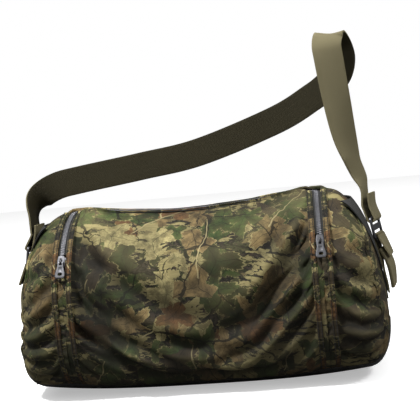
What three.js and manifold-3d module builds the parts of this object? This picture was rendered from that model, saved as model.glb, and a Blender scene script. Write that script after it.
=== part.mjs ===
// A barrel-shaped drum stick bag: camouflage cloth shell, U-shaped zip with two sliders, folding lid,
// and a webbing shoulder strap held by three-bar buckles at the ends.
// Millimetres. +X runs along the bag, -Y is the front, +Z is up, and z = 0 is the base.
import * as THREE from 'three';
import { mergeVertices } from 'three/addons/utils/BufferGeometryUtils.js';
import Module from 'manifold-3d';

// ---------------------------------------------------------------- driving dimensions

const gap = 0.3; // between neighbouring pieces
const reach = 600; // longer than anything here, for cutting regions

// shell
const barrelRadius = 114;
const bottomRadius = 70; // of the long bottom edges
const wall = 4;
const halfLength = 168; // of the barrel at its top
const endFlare = 32; // how much further its end seams stand out at the base
const endDepth = 43; // how far each end stands out past the barrel
const endPower = 2.3; // roundness of an end: 2 is an ellipse, more is squarer
const capShare = 0.72; // share of the end's depth at which the cap's seam runs
const baseHeight = 16; // the black base's turn-up
const boardThick = 3;
const boardEndClear = 12; // from the barrel's end seam at the base
const boardSideClear = 1; // from the rounded long edges
const boardCorner = 20;

// zip
const zipInset = 14; // of each leg from the barrel's end seam at the top
const zipTopAngle = 80; // of the lengthwise run, from the front horizontal
const parkAngle = 30; // of a parked slider
const foldClear = 1.95; // from a parked slider up to the lid's fold
const stopClear = 3.1; // from a parked slider down to its bottom stop
const rowGap = 1.4; // between the two tooth rows
const rowWidth = 1.8;
const rowThick = 3.4;
const tapeWidth = 2.9; // what shows beside a row
const tapeThick = 1.6;
const chainDepth = 1.9; // from the shell's outside to the middle of the tape

// sliders and pullers
const sliderLength = 16;
const sliderWidth = 9.6;
const sliderPlate = 1.4;
const sliderClear = 0.8; // over the teeth
const postThick = 0.7;
const postLength = 5;
const bailLength = 8;
const bailHeight = 4;
const bailThick = 1.6;
const bailBar = 1.3;
const pullerLength = 20;
const pullerTop = 6.6;
const pullerFoot = 12;
const pullerThick = 1.6;
const pullerEye = 3.4; // width of the eye that the bail passes through
const pullerEyeLength = 3.4;
const pullerHole = 4.4; // width of the opening near the foot

// plackets
const placketWidth = 6.6;
const placketThick = 1.5;
const placketClear = 0.6; // between a placket and the slider beside it

// strap, buckles and their webbing
const strapWidth = 38;
const strapThick = 2.2;
const backingMargin = 3; // of the backing band past the webbing, on each side
const backingThick = 1.5;
const backingDrop = 16; // from the bag's top to the backing band's
const backingFoot = 6; // of the backing band below the anchor
const anchorDrop = 82; // from the buckle's middle to the anchor's sewn foot
const anchorTailDrop = 36; // from the buckle's middle to the end of the anchor's tail
const tailFlare = 2;
const buckleHeight = 27;
const buckleBar = 3;
const buckleSide = 3.4;
const windowClear = 0.8; // between a window's side and the webbing
const buckleDrop = 56; // from the bag's top to the buckle's middle
const buckleLean = 10; // degrees that a buckle leans in at its top
const anchorLoop = 3.6; // radius of the webbing's middle round the lower bar
const strapLoop = 4.6; // radius of the webbing's middle round the upper bar
const swingDrop = 6; // from the bag's top to the strap's swing axis
const rightStrapInset = 11.5; // of the strap's foot from the buckle's middle, where it comes up inside
const leftStrapInset = 7; // and where it comes up outside
const strapTailDrop = 7; // from the swing axis to the end of the strap's tail

// ---------------------------------------------------------------- worked-out places

const middleZ = barrelRadius; // height of the barrel's axis
const topZ = 2 * barrelRadius;
const zipPlace = halfLength - zipInset; // each leg's distance from the middle
const rowInner = rowGap / 2;
const rowOuter = rowInner + rowWidth;
const tapeInner = rowOuter + gap;
const tapeOuter = tapeInner + tapeWidth;
const slotHalf = tapeOuter + gap;
const tapeRadius = barrelRadius - chainDepth;
const plateRadius = tapeRadius + rowThick / 2 + sliderClear; // underside of a slider's upper plate
const webStep = strapThick + gap;
const buckleZ = topZ - buckleDrop;
const swingZ = topZ - swingDrop;
const anchorLow = buckleZ - anchorDrop;
const anchorTail = buckleZ - anchorTailDrop;

const rad = THREE.MathUtils.degToRad;
const degrees = (length) => THREE.MathUtils.radToDeg(length / barrelRadius); // turn for a length of arc
const foldAngle = parkAngle + degrees(sliderLength / 2 + foldClear);
const stopAngle = parkAngle - degrees(sliderLength / 2 + stopClear);

// ---------------------------------------------------------------- solids

const wasm = await Module();
wasm.setup();

function solid(geometry) {
  const bare = geometry.index ? geometry.toNonIndexed() : geometry.clone();
  for (const name of Object.keys(bare.attributes)) {
    if (name !== 'position') bare.deleteAttribute(name);
  }
  const merged = mergeVertices(bare, 1e-5);
  return new wasm.Manifold(new wasm.Mesh({
    numProp: 3,
    vertProperties: new Float32Array(merged.attributes.position.array),
    triVerts: new Uint32Array(merged.index.array),
  }));
}

function geometryOf(body) {
  const mesh = body.getMesh();
  const geometry = new THREE.BufferGeometry();
  geometry.setAttribute('position', new THREE.BufferAttribute(mesh.vertProperties, 3));
  geometry.setIndex(new THREE.BufferAttribute(mesh.triVerts, 1));
  geometry.computeVertexNormals();
  return geometry;
}

// An outline in (y, z), extruded along X from x0 to x1.
function alongX(points, x0, x1) {
  const shape = new THREE.Shape(points.map(([y, z]) => new THREE.Vector2(y, z)));
  const geometry = new THREE.ExtrudeGeometry(shape, { depth: x1 - x0, bevelEnabled: false });
  const basis = new THREE.Matrix4().makeBasis(
    new THREE.Vector3(0, 1, 0), new THREE.Vector3(0, 0, 1), new THREE.Vector3(1, 0, 0));
  geometry.applyMatrix4(basis);
  geometry.translate(x0, 0, 0);
  return solid(geometry);
}

// An outline in (x, z), extruded along Y to the given width about y = 0.
function alongY(points, width) {
  const shape = new THREE.Shape(points.map(([x, z]) => new THREE.Vector2(x, z)));
  const geometry = new THREE.ExtrudeGeometry(shape, { depth: width, bevelEnabled: false });
  const basis = new THREE.Matrix4().makeBasis(
    new THREE.Vector3(1, 0, 0), new THREE.Vector3(0, 0, 1), new THREE.Vector3(0, -1, 0));
  geometry.applyMatrix4(basis);
  geometry.translate(0, width / 2, 0);
  return solid(geometry);
}

function block(x0, x1, y0, y1, z0, z1) {
  const geometry = new THREE.BoxGeometry(x1 - x0, y1 - y0, z1 - z0);
  geometry.translate((x0 + x1) / 2, (y0 + y1) / 2, (z0 + z1) / 2);
  return solid(geometry);
}

// A closed skin over rings of equal length, its ends closed to their middles. Each ring runs anticlockwise
// as seen from the rings after it.
function loft(rings) {
  const count = rings[0].length;
  const middle = (ring) => ring.reduce((sum, p) => sum.add(p), new THREE.Vector3()).divideScalar(count);
  const points = [...rings.flat(), middle(rings[0]), middle(rings[rings.length - 1])];
  const index = [];
  for (let r = 0; r + 1 < rings.length; r += 1) {
    for (let k = 0; k < count; k += 1) {
      const a = r * count + k;
      const b = r * count + (k + 1) % count;
      index.push(a, b, a + count, b, b + count, a + count);
    }
  }
  const last = (rings.length - 1) * count;
  for (let k = 0; k < count; k += 1) {
    const next = (k + 1) % count;
    index.push(points.length - 2, next, k);
    index.push(points.length - 1, last + k, last + next);
  }
  const geometry = new THREE.BufferGeometry().setFromPoints(points);
  geometry.setIndex(index);
  return solid(geometry);
}

// ---------------------------------------------------------------- the barrel's form

// A point at an angle from the front horizontal, at a distance from the barrel's axis, in (y, z).
function polar(angle, radius) {
  return [-radius * Math.cos(rad(angle)), middleZ + radius * Math.sin(rad(angle))];
}

// The barrel's cross-section set in by a distance, from the front edge of the base over the top and back.
function section(inset) {
  const points = [];
  const corner = bottomRadius - inset;
  const cornerY = barrelRadius - bottomRadius;
  for (let a = 90; a > 0; a -= 15) {
    points.push([-cornerY - corner * Math.cos(rad(a)), bottomRadius - corner * Math.sin(rad(a))]);
  }
  points.push([-barrelRadius + inset, bottomRadius]);
  for (let a = 0; a <= 180; a += 7.5) points.push(polar(a, barrelRadius - inset));
  points.push([barrelRadius - inset, bottomRadius]);
  for (let a = 15; a <= 90; a += 15) {
    points.push([cornerY + corner * Math.cos(rad(a)), bottomRadius - corner * Math.sin(rad(a))]);
  }
  return points;
}

const seamX = (z) => halfLength + endFlare * (1 - z / topZ);

// How far an end stands out at a height, on the bag's middle plane.
function capX(z) {
  const share = Math.abs(z - middleZ) / barrelRadius;
  return seamX(z) + endDepth * (1 - share ** endPower) ** (1 / endPower);
}

// The whole bag as a closed form, set in by a distance.
function form(inset) {
  const outline = section(inset);
  const turns = [80, 65, 50, 35, 20, 8, 0];
  const ring = (side, turn) => {
    const share = Math.cos(rad(turn)) ** (2 / endPower);
    const out = (endDepth - inset) * Math.sin(rad(turn)) ** (2 / endPower);
    return outline.map(([y, z]) => {
      const height = middleZ + (z - middleZ) * share;
      return new THREE.Vector3(side * (seamX(height) + out), y * share, height);
    });
  };
  return loft([
    ...turns.map((turn) => ring(1, turn)),
    ...turns.toReversed().map((turn) => ring(-1, turn)),
  ]);
}

// Everything between two angles as seen from the barrel's axis, from x0 to x1.
function wedge(from, to, x0, x1) {
  const points = [[0, middleZ]];
  const steps = Math.ceil((to - from) / 45);
  for (let k = 0; k <= steps; k += 1) points.push(polar(from + (to - from) * k / steps, reach));
  return alongX(points, x0, x1);
}

// Part of a tube about the barrel's axis.
function sector(x0, x1, from, to, inner, outer) {
  const steps = Math.ceil((to - from) / 3.5);
  const angles = Array.from({ length: steps + 1 }, (_, k) => from + (to - from) * k / steps);
  const points = [
    ...angles.map((a) => polar(a, outer)),
    ...angles.toReversed().map((a) => polar(a, inner)),
  ];
  return alongX(points, x0, x1);
}

// The same on both sides of the middle: x0 and x1 are distances from it.
function sideSector(side, x0, x1, from, to, inner, outer) {
  return side > 0 ? sector(x0, x1, from, to, inner, outer) : sector(-x1, -x0, from, to, inner, outer);
}

// A half-space past the slanted plane that lies a distance outside the barrel's end.
function pastSeam(side, out) {
  const low = seamX(-reach) + out;
  const high = seamX(reach) + out;
  const points = [[low, -reach], [low + 2 * reach, -reach], [low + 2 * reach, reach], [high, reach]];
  return alongY(points.map(([x, z]) => [side * x, z]), 2 * reach);
}

// ---------------------------------------------------------------- cloth shell

const shell = form(0).subtract(form(wall));
const slotTop = zipTopAngle + degrees(slotHalf);
const slotLow = stopAngle - 1;
const aboveBase = block(-reach, reach, -reach, reach, baseHeight + gap, reach);

function zipSlot(side) {
  const x0 = zipPlace - slotHalf;
  const x1 = zipPlace + slotHalf;
  return side > 0 ? wedge(slotLow, slotTop, x0, x1) : wedge(slotLow, slotTop, -x1, -x0);
}

const slots = zipSlot(-1).add(zipSlot(1));

function basePanel() {
  return shell.intersect(block(-reach, reach, -reach, reach, -1, baseHeight));
}

function frontPanel() {
  const x = zipPlace - gap / 2;
  const region = wedge(-90, foldAngle - degrees(gap) / 2, -x, x).intersect(aboveBase);
  return shell.intersect(region).subtract(slots);
}

function rearPanel() {
  const x = zipPlace - gap / 2;
  return shell.intersect(wedge(slotTop, 270, -x, x)).intersect(aboveBase);
}

function lidPanel() {
  const x = zipPlace - slotHalf;
  const top = zipTopAngle - degrees(slotHalf);
  return shell.intersect(wedge(foldAngle + degrees(gap) / 2, top, -x, x));
}

function sleeve(side) {
  const inner = zipPlace + gap / 2;
  const out = endDepth * capShare;
  const region = side > 0
    ? block(inner, reach, -reach, reach, -reach, reach)
    : block(-reach, -inner, -reach, reach, -reach, reach);
  return shell.intersect(region).intersect(aboveBase).subtract(slots).subtract(pastSeam(side, out));
}

function endCap(side) {
  return shell.intersect(pastSeam(side, endDepth * capShare + gap)).intersect(aboveBase);
}

function baseBoard() {
  const x = halfLength + endFlare - boardEndClear - boardCorner;
  const y = barrelRadius - bottomRadius - boardSideClear - boardCorner;
  const shape = new THREE.Shape();
  shape.absarc(x, y, boardCorner, 0, Math.PI / 2);
  shape.absarc(-x, y, boardCorner, Math.PI / 2, Math.PI);
  shape.absarc(-x, -y, boardCorner, Math.PI, 1.5 * Math.PI);
  shape.absarc(x, -y, boardCorner, 1.5 * Math.PI, 2 * Math.PI);
  const options = { depth: boardThick, bevelEnabled: false, curveSegments: 4 };
  const geometry = new THREE.ExtrudeGeometry(shape, options);
  geometry.translate(0, 0, wall + gap);
  return solid(geometry);
}

// ---------------------------------------------------------------- zip

// One half of the zip's U: two legs, and the lengthwise run that joins them.
// from and to are distances from the line where the rows meet, negative on the lid's side.
function zipHalf(low, from, to, inner, outer) {
  const near = Math.min(from, to);
  const far = Math.max(from, to);
  const top = zipTopAngle + degrees(far);
  const run = sector(
    -zipPlace - far, zipPlace + far, zipTopAngle + degrees(near), top, inner, outer);
  const left = sideSector(-1, zipPlace + near, zipPlace + far, low, top, inner, outer);
  const right = sideSector(1, zipPlace + near, zipPlace + far, low, top, inner, outer);
  return run.add(left).add(right);
}

const tapeIn = tapeRadius - tapeThick / 2;
const tapeOut = tapeRadius + tapeThick / 2;
const rowIn = tapeRadius - rowThick / 2;
const rowOut = tapeRadius + rowThick / 2;
const lidLow = foldAngle + degrees(gap) / 2;
const tapeLow = slotLow + degrees(gap);
const rowLow = stopAngle + degrees(1.5);

const lidTape = () => zipHalf(lidLow, -tapeOuter, -tapeInner, tapeIn, tapeOut);
const bodyTape = () => zipHalf(tapeLow, tapeInner, tapeOuter, tapeIn, tapeOut);
const lidTeeth = () => zipHalf(lidLow, -rowOuter, -rowInner, rowIn, rowOut);
const bodyTeeth = () => zipHalf(rowLow, rowInner, rowOuter, rowIn, rowOut);

// The lid's side of a leg below the fold, fixed to the front: tape with its teeth.
function frontZip(side) {
  const high = foldAngle - degrees(gap) / 2;
  const inset = degrees(gap);
  const tape = sideSector(side, zipPlace - tapeOuter, zipPlace - rowOuter + gap,
    rowLow + inset, high - inset, tapeIn, tapeOut);
  const teeth = sideSector(side, zipPlace - rowOuter, zipPlace - rowInner, rowLow, high, rowIn, rowOut);
  return tape.add(teeth);
}

function zipStop(side) {
  const half = degrees(0.9);
  return sideSector(side, zipPlace - rowOuter, zipPlace + rowOuter,
    stopAngle - half + degrees(gap), stopAngle + half, rowIn, rowOut + gap);
}

// ---------------------------------------------------------------- sliders and pullers

// A place on a parked slider's upper plate: along the leg towards its foot, and out from the plate.
function onSlider(down, out) {
  const plateTop = plateRadius + sliderPlate;
  const [y, z] = polar(parkAngle, plateTop + out);
  return [y - down * Math.sin(rad(parkAngle)), z - down * Math.cos(rad(parkAngle))];
}

const pivotDown = bailLength / 2 - bailBar - pullerThick / 2 - gap;
const pivotOut = gap + pullerThick / 2;

function slider(side) {
  const half = degrees(sliderLength / 2);
  const x0 = zipPlace - sliderWidth / 2;
  const x1 = zipPlace + sliderWidth / 2;
  const plateTop = plateRadius + sliderPlate;
  const lower = rowIn - sliderClear;
  const upperPlate = sideSector(side, x0, x1, parkAngle - half, parkAngle + half, plateRadius, plateTop);
  const lowerPlate = sideSector(
    side, x0, x1, parkAngle - half, parkAngle + half, lower - sliderPlate, lower);
  const postHalf = degrees(postLength / 2);
  const post = sideSector(side, zipPlace - postThick / 2, zipPlace + postThick / 2,
    parkAngle - postHalf, parkAngle + postHalf, lower - sliderPlate / 2, plateRadius + sliderPlate / 2);
  const sink = sliderPlate / 2;
  const bailOutline = [
    onSlider(-bailLength / 2, -sink), onSlider(bailLength / 2, -sink),
    onSlider(bailLength / 2, bailHeight - bailBar), onSlider(bailLength / 2 - bailBar, bailHeight),
    onSlider(-bailLength / 2 + bailBar, bailHeight), onSlider(-bailLength / 2, bailHeight - bailBar),
  ];
  const eyeOutline = [
    onSlider(-bailLength / 2 + bailBar, 0), onSlider(bailLength / 2 - bailBar, 0),
    onSlider(bailLength / 2 - bailBar, bailHeight - bailBar),
    onSlider(-bailLength / 2 + bailBar, bailHeight - bailBar),
  ];
  const x = side * zipPlace;
  const bail = alongX(bailOutline, x - bailThick / 2, x + bailThick / 2)
    .subtract(alongX(eyeOutline, x - bailThick, x + bailThick));
  return upperPlate.add(lowerPlate).add(post).add(bail);
}

// The puller lies flat, drawn in (x, length) and turned to lie down the leg from the bail.
function puller(side) {
  const half = pullerThick / 2;
  const eye = pullerEye / 2;
  const shape = new THREE.Shape();
  shape.moveTo(-pullerTop / 2, -half);
  shape.lineTo(pullerTop / 2, -half);
  shape.lineTo(pullerFoot / 2, pullerLength - 2);
  shape.lineTo(pullerFoot / 2 - 2, pullerLength);
  shape.lineTo(-pullerFoot / 2 + 2, pullerLength);
  shape.lineTo(-pullerFoot / 2, pullerLength - 2);
  const upper = new THREE.Path();
  upper.moveTo(-eye, half);
  upper.lineTo(-eye, half + pullerEyeLength);
  upper.lineTo(eye, half + pullerEyeLength);
  upper.lineTo(eye, half);
  const lower = new THREE.Path();
  const holeTop = pullerLength * 0.62;
  const holeFoot = pullerLength - 3;
  lower.moveTo(-pullerHole / 2, holeTop);
  lower.lineTo(-pullerHole / 2 - 1, holeFoot);
  lower.lineTo(pullerHole / 2 + 1, holeFoot);
  lower.lineTo(pullerHole / 2, holeTop);
  shape.holes.push(upper, lower);
  const geometry = new THREE.ExtrudeGeometry(shape, { depth: pullerThick, bevelEnabled: false });
  geometry.translate(0, 0, -half);
  const down = new THREE.Vector3(0, -Math.sin(rad(parkAngle)), -Math.cos(rad(parkAngle)));
  const across = new THREE.Vector3(1, 0, 0);
  geometry.applyMatrix4(new THREE.Matrix4().makeBasis(across, down, across.clone().cross(down)));
  const [y, z] = onSlider(pivotDown, pivotOut);
  geometry.translate(side * zipPlace, y, z);
  return solid(geometry);
}

// ---------------------------------------------------------------- plackets

// A strip on the outside of the barrel between two distances from the middle.
function strip(side, x0, x1, region) {
  const ringOf = (inset) => alongX(section(inset), side > 0 ? x0 : -x1, side > 0 ? x1 : -x0);
  return ringOf(-gap - placketThick).subtract(ringOf(-gap)).intersect(region);
}

const placketNear = sliderWidth / 2 + placketClear;
const placketFar = placketNear + placketWidth;

function lidPlacket(side) {
  const region = wedge(lidLow, zipTopAngle - degrees(slotHalf), -reach, reach);
  return strip(side, zipPlace - placketFar, zipPlace - placketNear, region);
}

function frontPlacket(side) {
  const region = wedge(-90, foldAngle - degrees(gap) / 2, -reach, reach).intersect(aboveBase);
  return strip(side, zipPlace - placketFar, zipPlace - placketNear, region);
}

function sleevePlacket(side) {
  const region = wedge(-90, zipTopAngle - degrees(slotHalf), -reach, reach).intersect(aboveBase);
  return strip(side, zipPlace + placketNear, zipPlace + placketFar, region);
}

// ---------------------------------------------------------------- end webbing and buckles

// A band's outline from the line along its middle, in (x, z).
function bandOutline(line, thick) {
  const left = [];
  const right = [];
  line.forEach((p, k) => {
    const before = line[Math.max(k - 1, 0)];
    const after = line[Math.min(k + 1, line.length - 1)];
    const length = Math.hypot(after[0] - before[0], after[1] - before[1]);
    const normal = [-(after[1] - before[1]) / length, (after[0] - before[0]) / length];
    left.push([p[0] + normal[0] * thick / 2, p[1] + normal[1] * thick / 2]);
    right.push([p[0] - normal[0] * thick / 2, p[1] - normal[1] * thick / 2]);
  });
  return [...left, ...right.toReversed()];
}

function band(side, line, thick, width) {
  return alongY(bandOutline(line.map(([x, z]) => [side * x, z]), thick), width);
}

const heights = (low, high, step) => {
  const count = Math.round((high - low) / step);
  return Array.from({ length: count + 1 }, (_, k) => low + (high - low) * k / count);
};

// Distances out from the cap to the middle of each layer on it.
const backingOut = gap + backingThick / 2;
const anchorOut = 2 * gap + backingThick + strapThick / 2;

function backingBand(side) {
  const places = heights(anchorLow - backingFoot, topZ - backingDrop, 9);
  const line = places.map((z) => [capX(z) + backingOut, z]);
  return band(side, line, backingThick, strapWidth + 2 * backingMargin);
}

const barPlace = buckleHeight / 2 - buckleBar / 2; // from the buckle's middle to an outer bar
const lean = rad(buckleLean);

// The buckle's middle lies so that the webbing under its lower bar just clears the backing.
const buckleX = (() => {
  const z = buckleZ - barPlace * Math.cos(lean);
  return capX(z) + anchorOut + anchorLoop * Math.cos(lean) - barPlace * Math.sin(lean) + gap;
})();

const rightStrapX = buckleX - rightStrapInset;
const leftStrapX = buckleX - leftStrapInset;

// A place by the buckle: out from its middle plane, and up along it, in (x, z).
function byBuckle(out, up) {
  return [
    buckleX + out * Math.cos(lean) - up * Math.sin(lean),
    buckleZ + up * Math.cos(lean) + out * Math.sin(lean),
  ];
}

// Half a turn of webbing round a bar, from the inner side to the outer; turn is 1 over, -1 under.
function loopPoints(up, radius, turn) {
  return [180, 150, 120, 90, 60, 30, 0].map((a) => (
    byBuckle(radius * Math.cos(rad(a)), up + turn * radius * Math.sin(rad(a)))));
}

function anchor(side) {
  const loopFoot = byBuckle(-anchorLoop, -barPlace)[1];
  const inner = heights(anchorLow, loopFoot - 8, 12).map((z) => [capX(z) + anchorOut, z]);
  const tail = [[capX(anchorTail) + anchorOut + webStep + tailFlare, anchorTail]];
  const line = [...inner, ...loopPoints(-barPlace, anchorLoop, 1), ...tail];
  return band(side, line, strapThick, strapWidth);
}

// The strap's end: the leg that meets the strap, the turn round the upper bar, and the tail.
function strapEnd(side, strapX, tailOutside) {
  const legTop = swingZ - strapWidth / 2 - gap;
  const loop = loopPoints(barPlace, strapLoop, -1);
  const leg = [[strapX, legTop], [strapX, legTop - 3]];
  const tailZ = swingZ - strapTailDrop;
  const tail = tailOutside
    ? [[strapX + 3.4 * webStep, tailZ], [strapX + 3.6 * webStep, legTop - 3]]
    : [[strapX - 2.6 * webStep, tailZ - 3], [strapX - 1.8 * webStep, legTop - 3]];
  const line = tailOutside
    ? [...leg, ...loop, tail[1], tail[0]]
    : [...tail, ...loop, leg[1], leg[0]];
  return band(side, line, strapThick, strapWidth);
}

function buckle(side) {
  const half = buckleBar / 2;
  const frame = [[-half, -buckleHeight / 2], [half, -buckleHeight / 2], [half, buckleHeight / 2],
    [-half, buckleHeight / 2]];
  const place = (points) => points.map(([out, up]) => byBuckle(out, up)).map(([x, z]) => [side * x, z]);
  const inside = strapWidth + 2 * windowClear;
  let body = alongY(place(frame), inside + 2 * buckleSide);
  for (const end of [-1, 1]) {
    const near = end * half;
    const far = end * (barPlace - half);
    const hole = [[-2 * half, near], [2 * half, near], [2 * half, far], [-2 * half, far]];
    body = body.subtract(alongY(place(hole), inside));
  }
  return body;
}

// ---------------------------------------------------------------- strap

// The strap's middle line, its heights measured up from the swing axis, and the way across its width.
const strapRoute = [
  [[rightStrapX, 0, 0], [0, 1, 0]],
  [[rightStrapX - 5, -2, 22], [0.37, 0.93, 0]],
  [[rightStrapX - 16, -9, 64], [0.79, 0.62, 0]],
  [[rightStrapX - 23, -14, 115], [0.94, 0.34, 0]],
  [[rightStrapX - 28, -16, 162], [0.985, 0.17, 0]],
  [[rightStrapX - 29, -13, 181], [1, 0.04, -0.06]],
  [[rightStrapX - 24, 0, 193], [1, 0, -0.1]],
  [[rightStrapX - 16, 12, 181], [1, 0, -0.16]],
  [[rightStrapX - 12, 16, 163], [0.97, 0, -0.24]],
  [[rightStrapX - 18, 18, 144], [0.83, 0, -0.55]],
  [[rightStrapX - 33, 18, 131], [0.66, 0, -0.75]],
  [[rightStrapX - 52, 18, 119], [0.52, 0, -0.85]],
  [[rightStrapX - 101, 18, 95], [0.36, 0, -0.93]],
  [[9, 18, 64], [0.22, 0, -0.975]],
  [[-67, 13, 53], [0.14, 0, -0.99]],
  [[-leftStrapX + 66, 5, 43], [0.12, 0, -0.99]],
  [[-leftStrapX + 36, 2, 38], [0.3, 0.08, -0.95]],
  [[-leftStrapX + 15, 0, 28], [0.5, 0.36, -0.77]],
  [[-leftStrapX + 4, 0, 15], [0.2, 0.88, -0.42]],
  [[-leftStrapX, 0, 0], [0, 1, 0]],
];

function strapWeb() {
  const places = strapRoute.map(([[x, y, rise]]) => new THREE.Vector3(x, y, swingZ + rise));
  const middles = new THREE.CatmullRomCurve3(places);
  const widths = new THREE.CatmullRomCurve3(strapRoute.map(([, w]) => new THREE.Vector3(...w)));
  const steps = (strapRoute.length - 1) * 3;
  const rings = [];
  for (let k = 0; k <= steps; k += 1) {
    const t = k / steps;
    const level = k === 0 || k === steps;
    const along = level ? new THREE.Vector3(0, 0, k === 0 ? 1 : -1) : middles.getTangent(t).normalize();
    const across = widths.getPoint(t);
    across.addScaledVector(along, -across.dot(along)).normalize();
    const out = across.clone().cross(along);
    const corner = (a, b) => middles.getPoint(t)
      .addScaledVector(across, a * strapWidth / 2).addScaledVector(out, b * strapThick / 2);
    rings.push([corner(-1, -1), corner(-1, 1), corner(1, 1), corner(1, -1)]);
  }
  let web = loft(rings);
  for (const x of [rightStrapX, -leftStrapX]) web = web.add(roundEnd(x));
  return web;
}

// The strap's round foot, centred on the swing axis.
function roundEnd(x) {
  const points = [];
  for (let a = 0; a <= 180; a += 15) {
    points.push([-strapWidth / 2 * Math.cos(rad(a)), swingZ - strapWidth / 2 * Math.sin(rad(a))]);
  }
  return alongX(points, x - strapThick / 2, x + strapThick / 2);
}

// ---------------------------------------------------------------- assembly

const finishes = {
  camo: { color: 0x6f6743, roughness: 0.9, metalness: 0 },
  base: { color: 0x141412, roughness: 0.85, metalness: 0 },
  board: { color: 0x2b2b2b, roughness: 0.7, metalness: 0 },
  tape: { color: 0x111111, roughness: 0.9, metalness: 0 },
  metal: { color: 0x8c8c8e, roughness: 0.35, metalness: 1 },
  webbing: { color: 0x6b6448, roughness: 0.85, metalness: 0 },
  blackWebbing: { color: 0x1b1b19, roughness: 0.9, metalness: 0 },
};

const bag = new THREE.Group();

function add(name, finish, body) {
  const mesh = new THREE.Mesh(geometryOf(body), new THREE.MeshStandardMaterial(finishes[finish]));
  mesh.name = name;
  bag.add(mesh);
}

add('base_panel', 'base', basePanel());
add('base_board', 'board', baseBoard());
add('front_panel', 'camo', frontPanel());
add('rear_panel', 'camo', rearPanel());
add('lid_panel', 'camo', lidPanel());
add('lid_zip_tape', 'tape', lidTape());
add('body_zip_tape', 'tape', bodyTape());
add('lid_teeth', 'metal', lidTeeth());
add('body_teeth', 'metal', bodyTeeth());
for (const [name, side] of [['left', -1], ['right', 1]]) {
  add(`${name}_sleeve`, 'camo', sleeve(side));
  add(`${name}_end_cap`, 'camo', endCap(side));
  add(`${name}_front_zip`, 'metal', frontZip(side));
  add(`${name}_zip_stop`, 'metal', zipStop(side));
  add(`${name}_slider`, 'metal', slider(side));
  add(`${name}_puller`, 'metal', puller(side));
  add(`${name}_lid_placket`, 'camo', lidPlacket(side));
  add(`${name}_front_placket`, 'camo', frontPlacket(side));
  add(`${name}_sleeve_placket`, 'camo', sleevePlacket(side));
  add(`${name}_backing_band`, 'blackWebbing', backingBand(side));
  add(`${name}_anchor`, 'webbing', anchor(side));
  add(`${name}_buckle`, 'metal', buckle(side));
}
add('right_strap_end', 'webbing', strapEnd(1, rightStrapX, true));
add('left_strap_end', 'webbing', strapEnd(-1, leftStrapX, false));
add('strap_web', 'webbing', strapWeb());

export default bag;
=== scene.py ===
"""A camouflage drum stick bag with a webbing shoulder strap, built as an add-on's operators.

Lengths are in metres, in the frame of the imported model: +X along the bag, -Y its front, +Z up.
"""

import math

import bpy
import numpy as np
from bpy.props import FloatProperty, FloatVectorProperty, IntProperty, PointerProperty
from mathutils import Matrix, Vector, noise


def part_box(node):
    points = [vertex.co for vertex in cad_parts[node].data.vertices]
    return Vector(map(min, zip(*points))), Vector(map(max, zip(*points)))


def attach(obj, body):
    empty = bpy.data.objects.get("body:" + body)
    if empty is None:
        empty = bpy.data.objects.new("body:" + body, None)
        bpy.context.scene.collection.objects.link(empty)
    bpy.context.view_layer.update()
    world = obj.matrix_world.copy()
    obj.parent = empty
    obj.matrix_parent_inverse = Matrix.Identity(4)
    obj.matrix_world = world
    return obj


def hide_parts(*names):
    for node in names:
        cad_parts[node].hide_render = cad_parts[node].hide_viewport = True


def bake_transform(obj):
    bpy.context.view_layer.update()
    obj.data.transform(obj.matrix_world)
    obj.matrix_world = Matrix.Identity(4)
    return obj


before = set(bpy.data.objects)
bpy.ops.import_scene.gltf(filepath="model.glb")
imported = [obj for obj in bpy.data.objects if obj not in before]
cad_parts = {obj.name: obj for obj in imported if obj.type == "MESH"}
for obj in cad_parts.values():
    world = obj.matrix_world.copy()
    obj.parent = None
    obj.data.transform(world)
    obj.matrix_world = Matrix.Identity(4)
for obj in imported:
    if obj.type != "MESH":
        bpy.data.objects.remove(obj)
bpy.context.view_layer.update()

bl_info = {
    "name": "Drum Stick Bag",
    "version": (1, 0, 0),
    "blender": (4, 5, 0),
    "location": "View3D > Sidebar > Stick Bag",
    "description": "Builds a camouflage drum stick bag, its zips, webbing, buckles and studio",
    "category": "Add Mesh",
}

MM = 0.001
SIDES = (("left", -1), ("right", 1))

# ------------------------------------------------------------------ the barrel's form

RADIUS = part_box("rear_panel")[1].y  # of the barrel
TOP = 2 * RADIUS
EDGE = 70 * MM  # radius of the long bottom edges
HALF = 168 * MM  # half-length of the barrel at its top
FLARE = 32 * MM  # how much further its end seams stand out at the base
END_DEPTH = 43 * MM
END_POWER = 2.3
PLAN_POWER = 1.9  # the same in plan, where the filled cloth is rounder
CAP_SHARE = 0.72  # of an end's depth, out to the cap's seam
CAP_TURN = math.degrees(math.asin(CAP_SHARE ** (END_POWER / 2)))
BASE_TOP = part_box("base_panel")[1].z
ZIP_X = (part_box("right_slider")[0].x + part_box("right_slider")[1].x) / 2
ZIP_TOP_ANGLE = 80.0
FOLD_ANGLE = 35.0
PARK_ANGLE = 30.0
STOP_ANGLE = 24.4

QUARTER = RADIUS * math.pi / 2
SIDE = RADIUS - EDGE
CORNER = EDGE * math.pi / 2


def arc_at(angle):
    """Length round the front from the crest to an angle above the front horizontal."""
    return RADIUS * math.radians(90 - angle)


def arc_at_height(height):
    """Length round the front from the crest down to a height on the lower edge's curve."""
    return QUARTER + SIDE + EDGE * math.asin(1 - height / EDGE)


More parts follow.
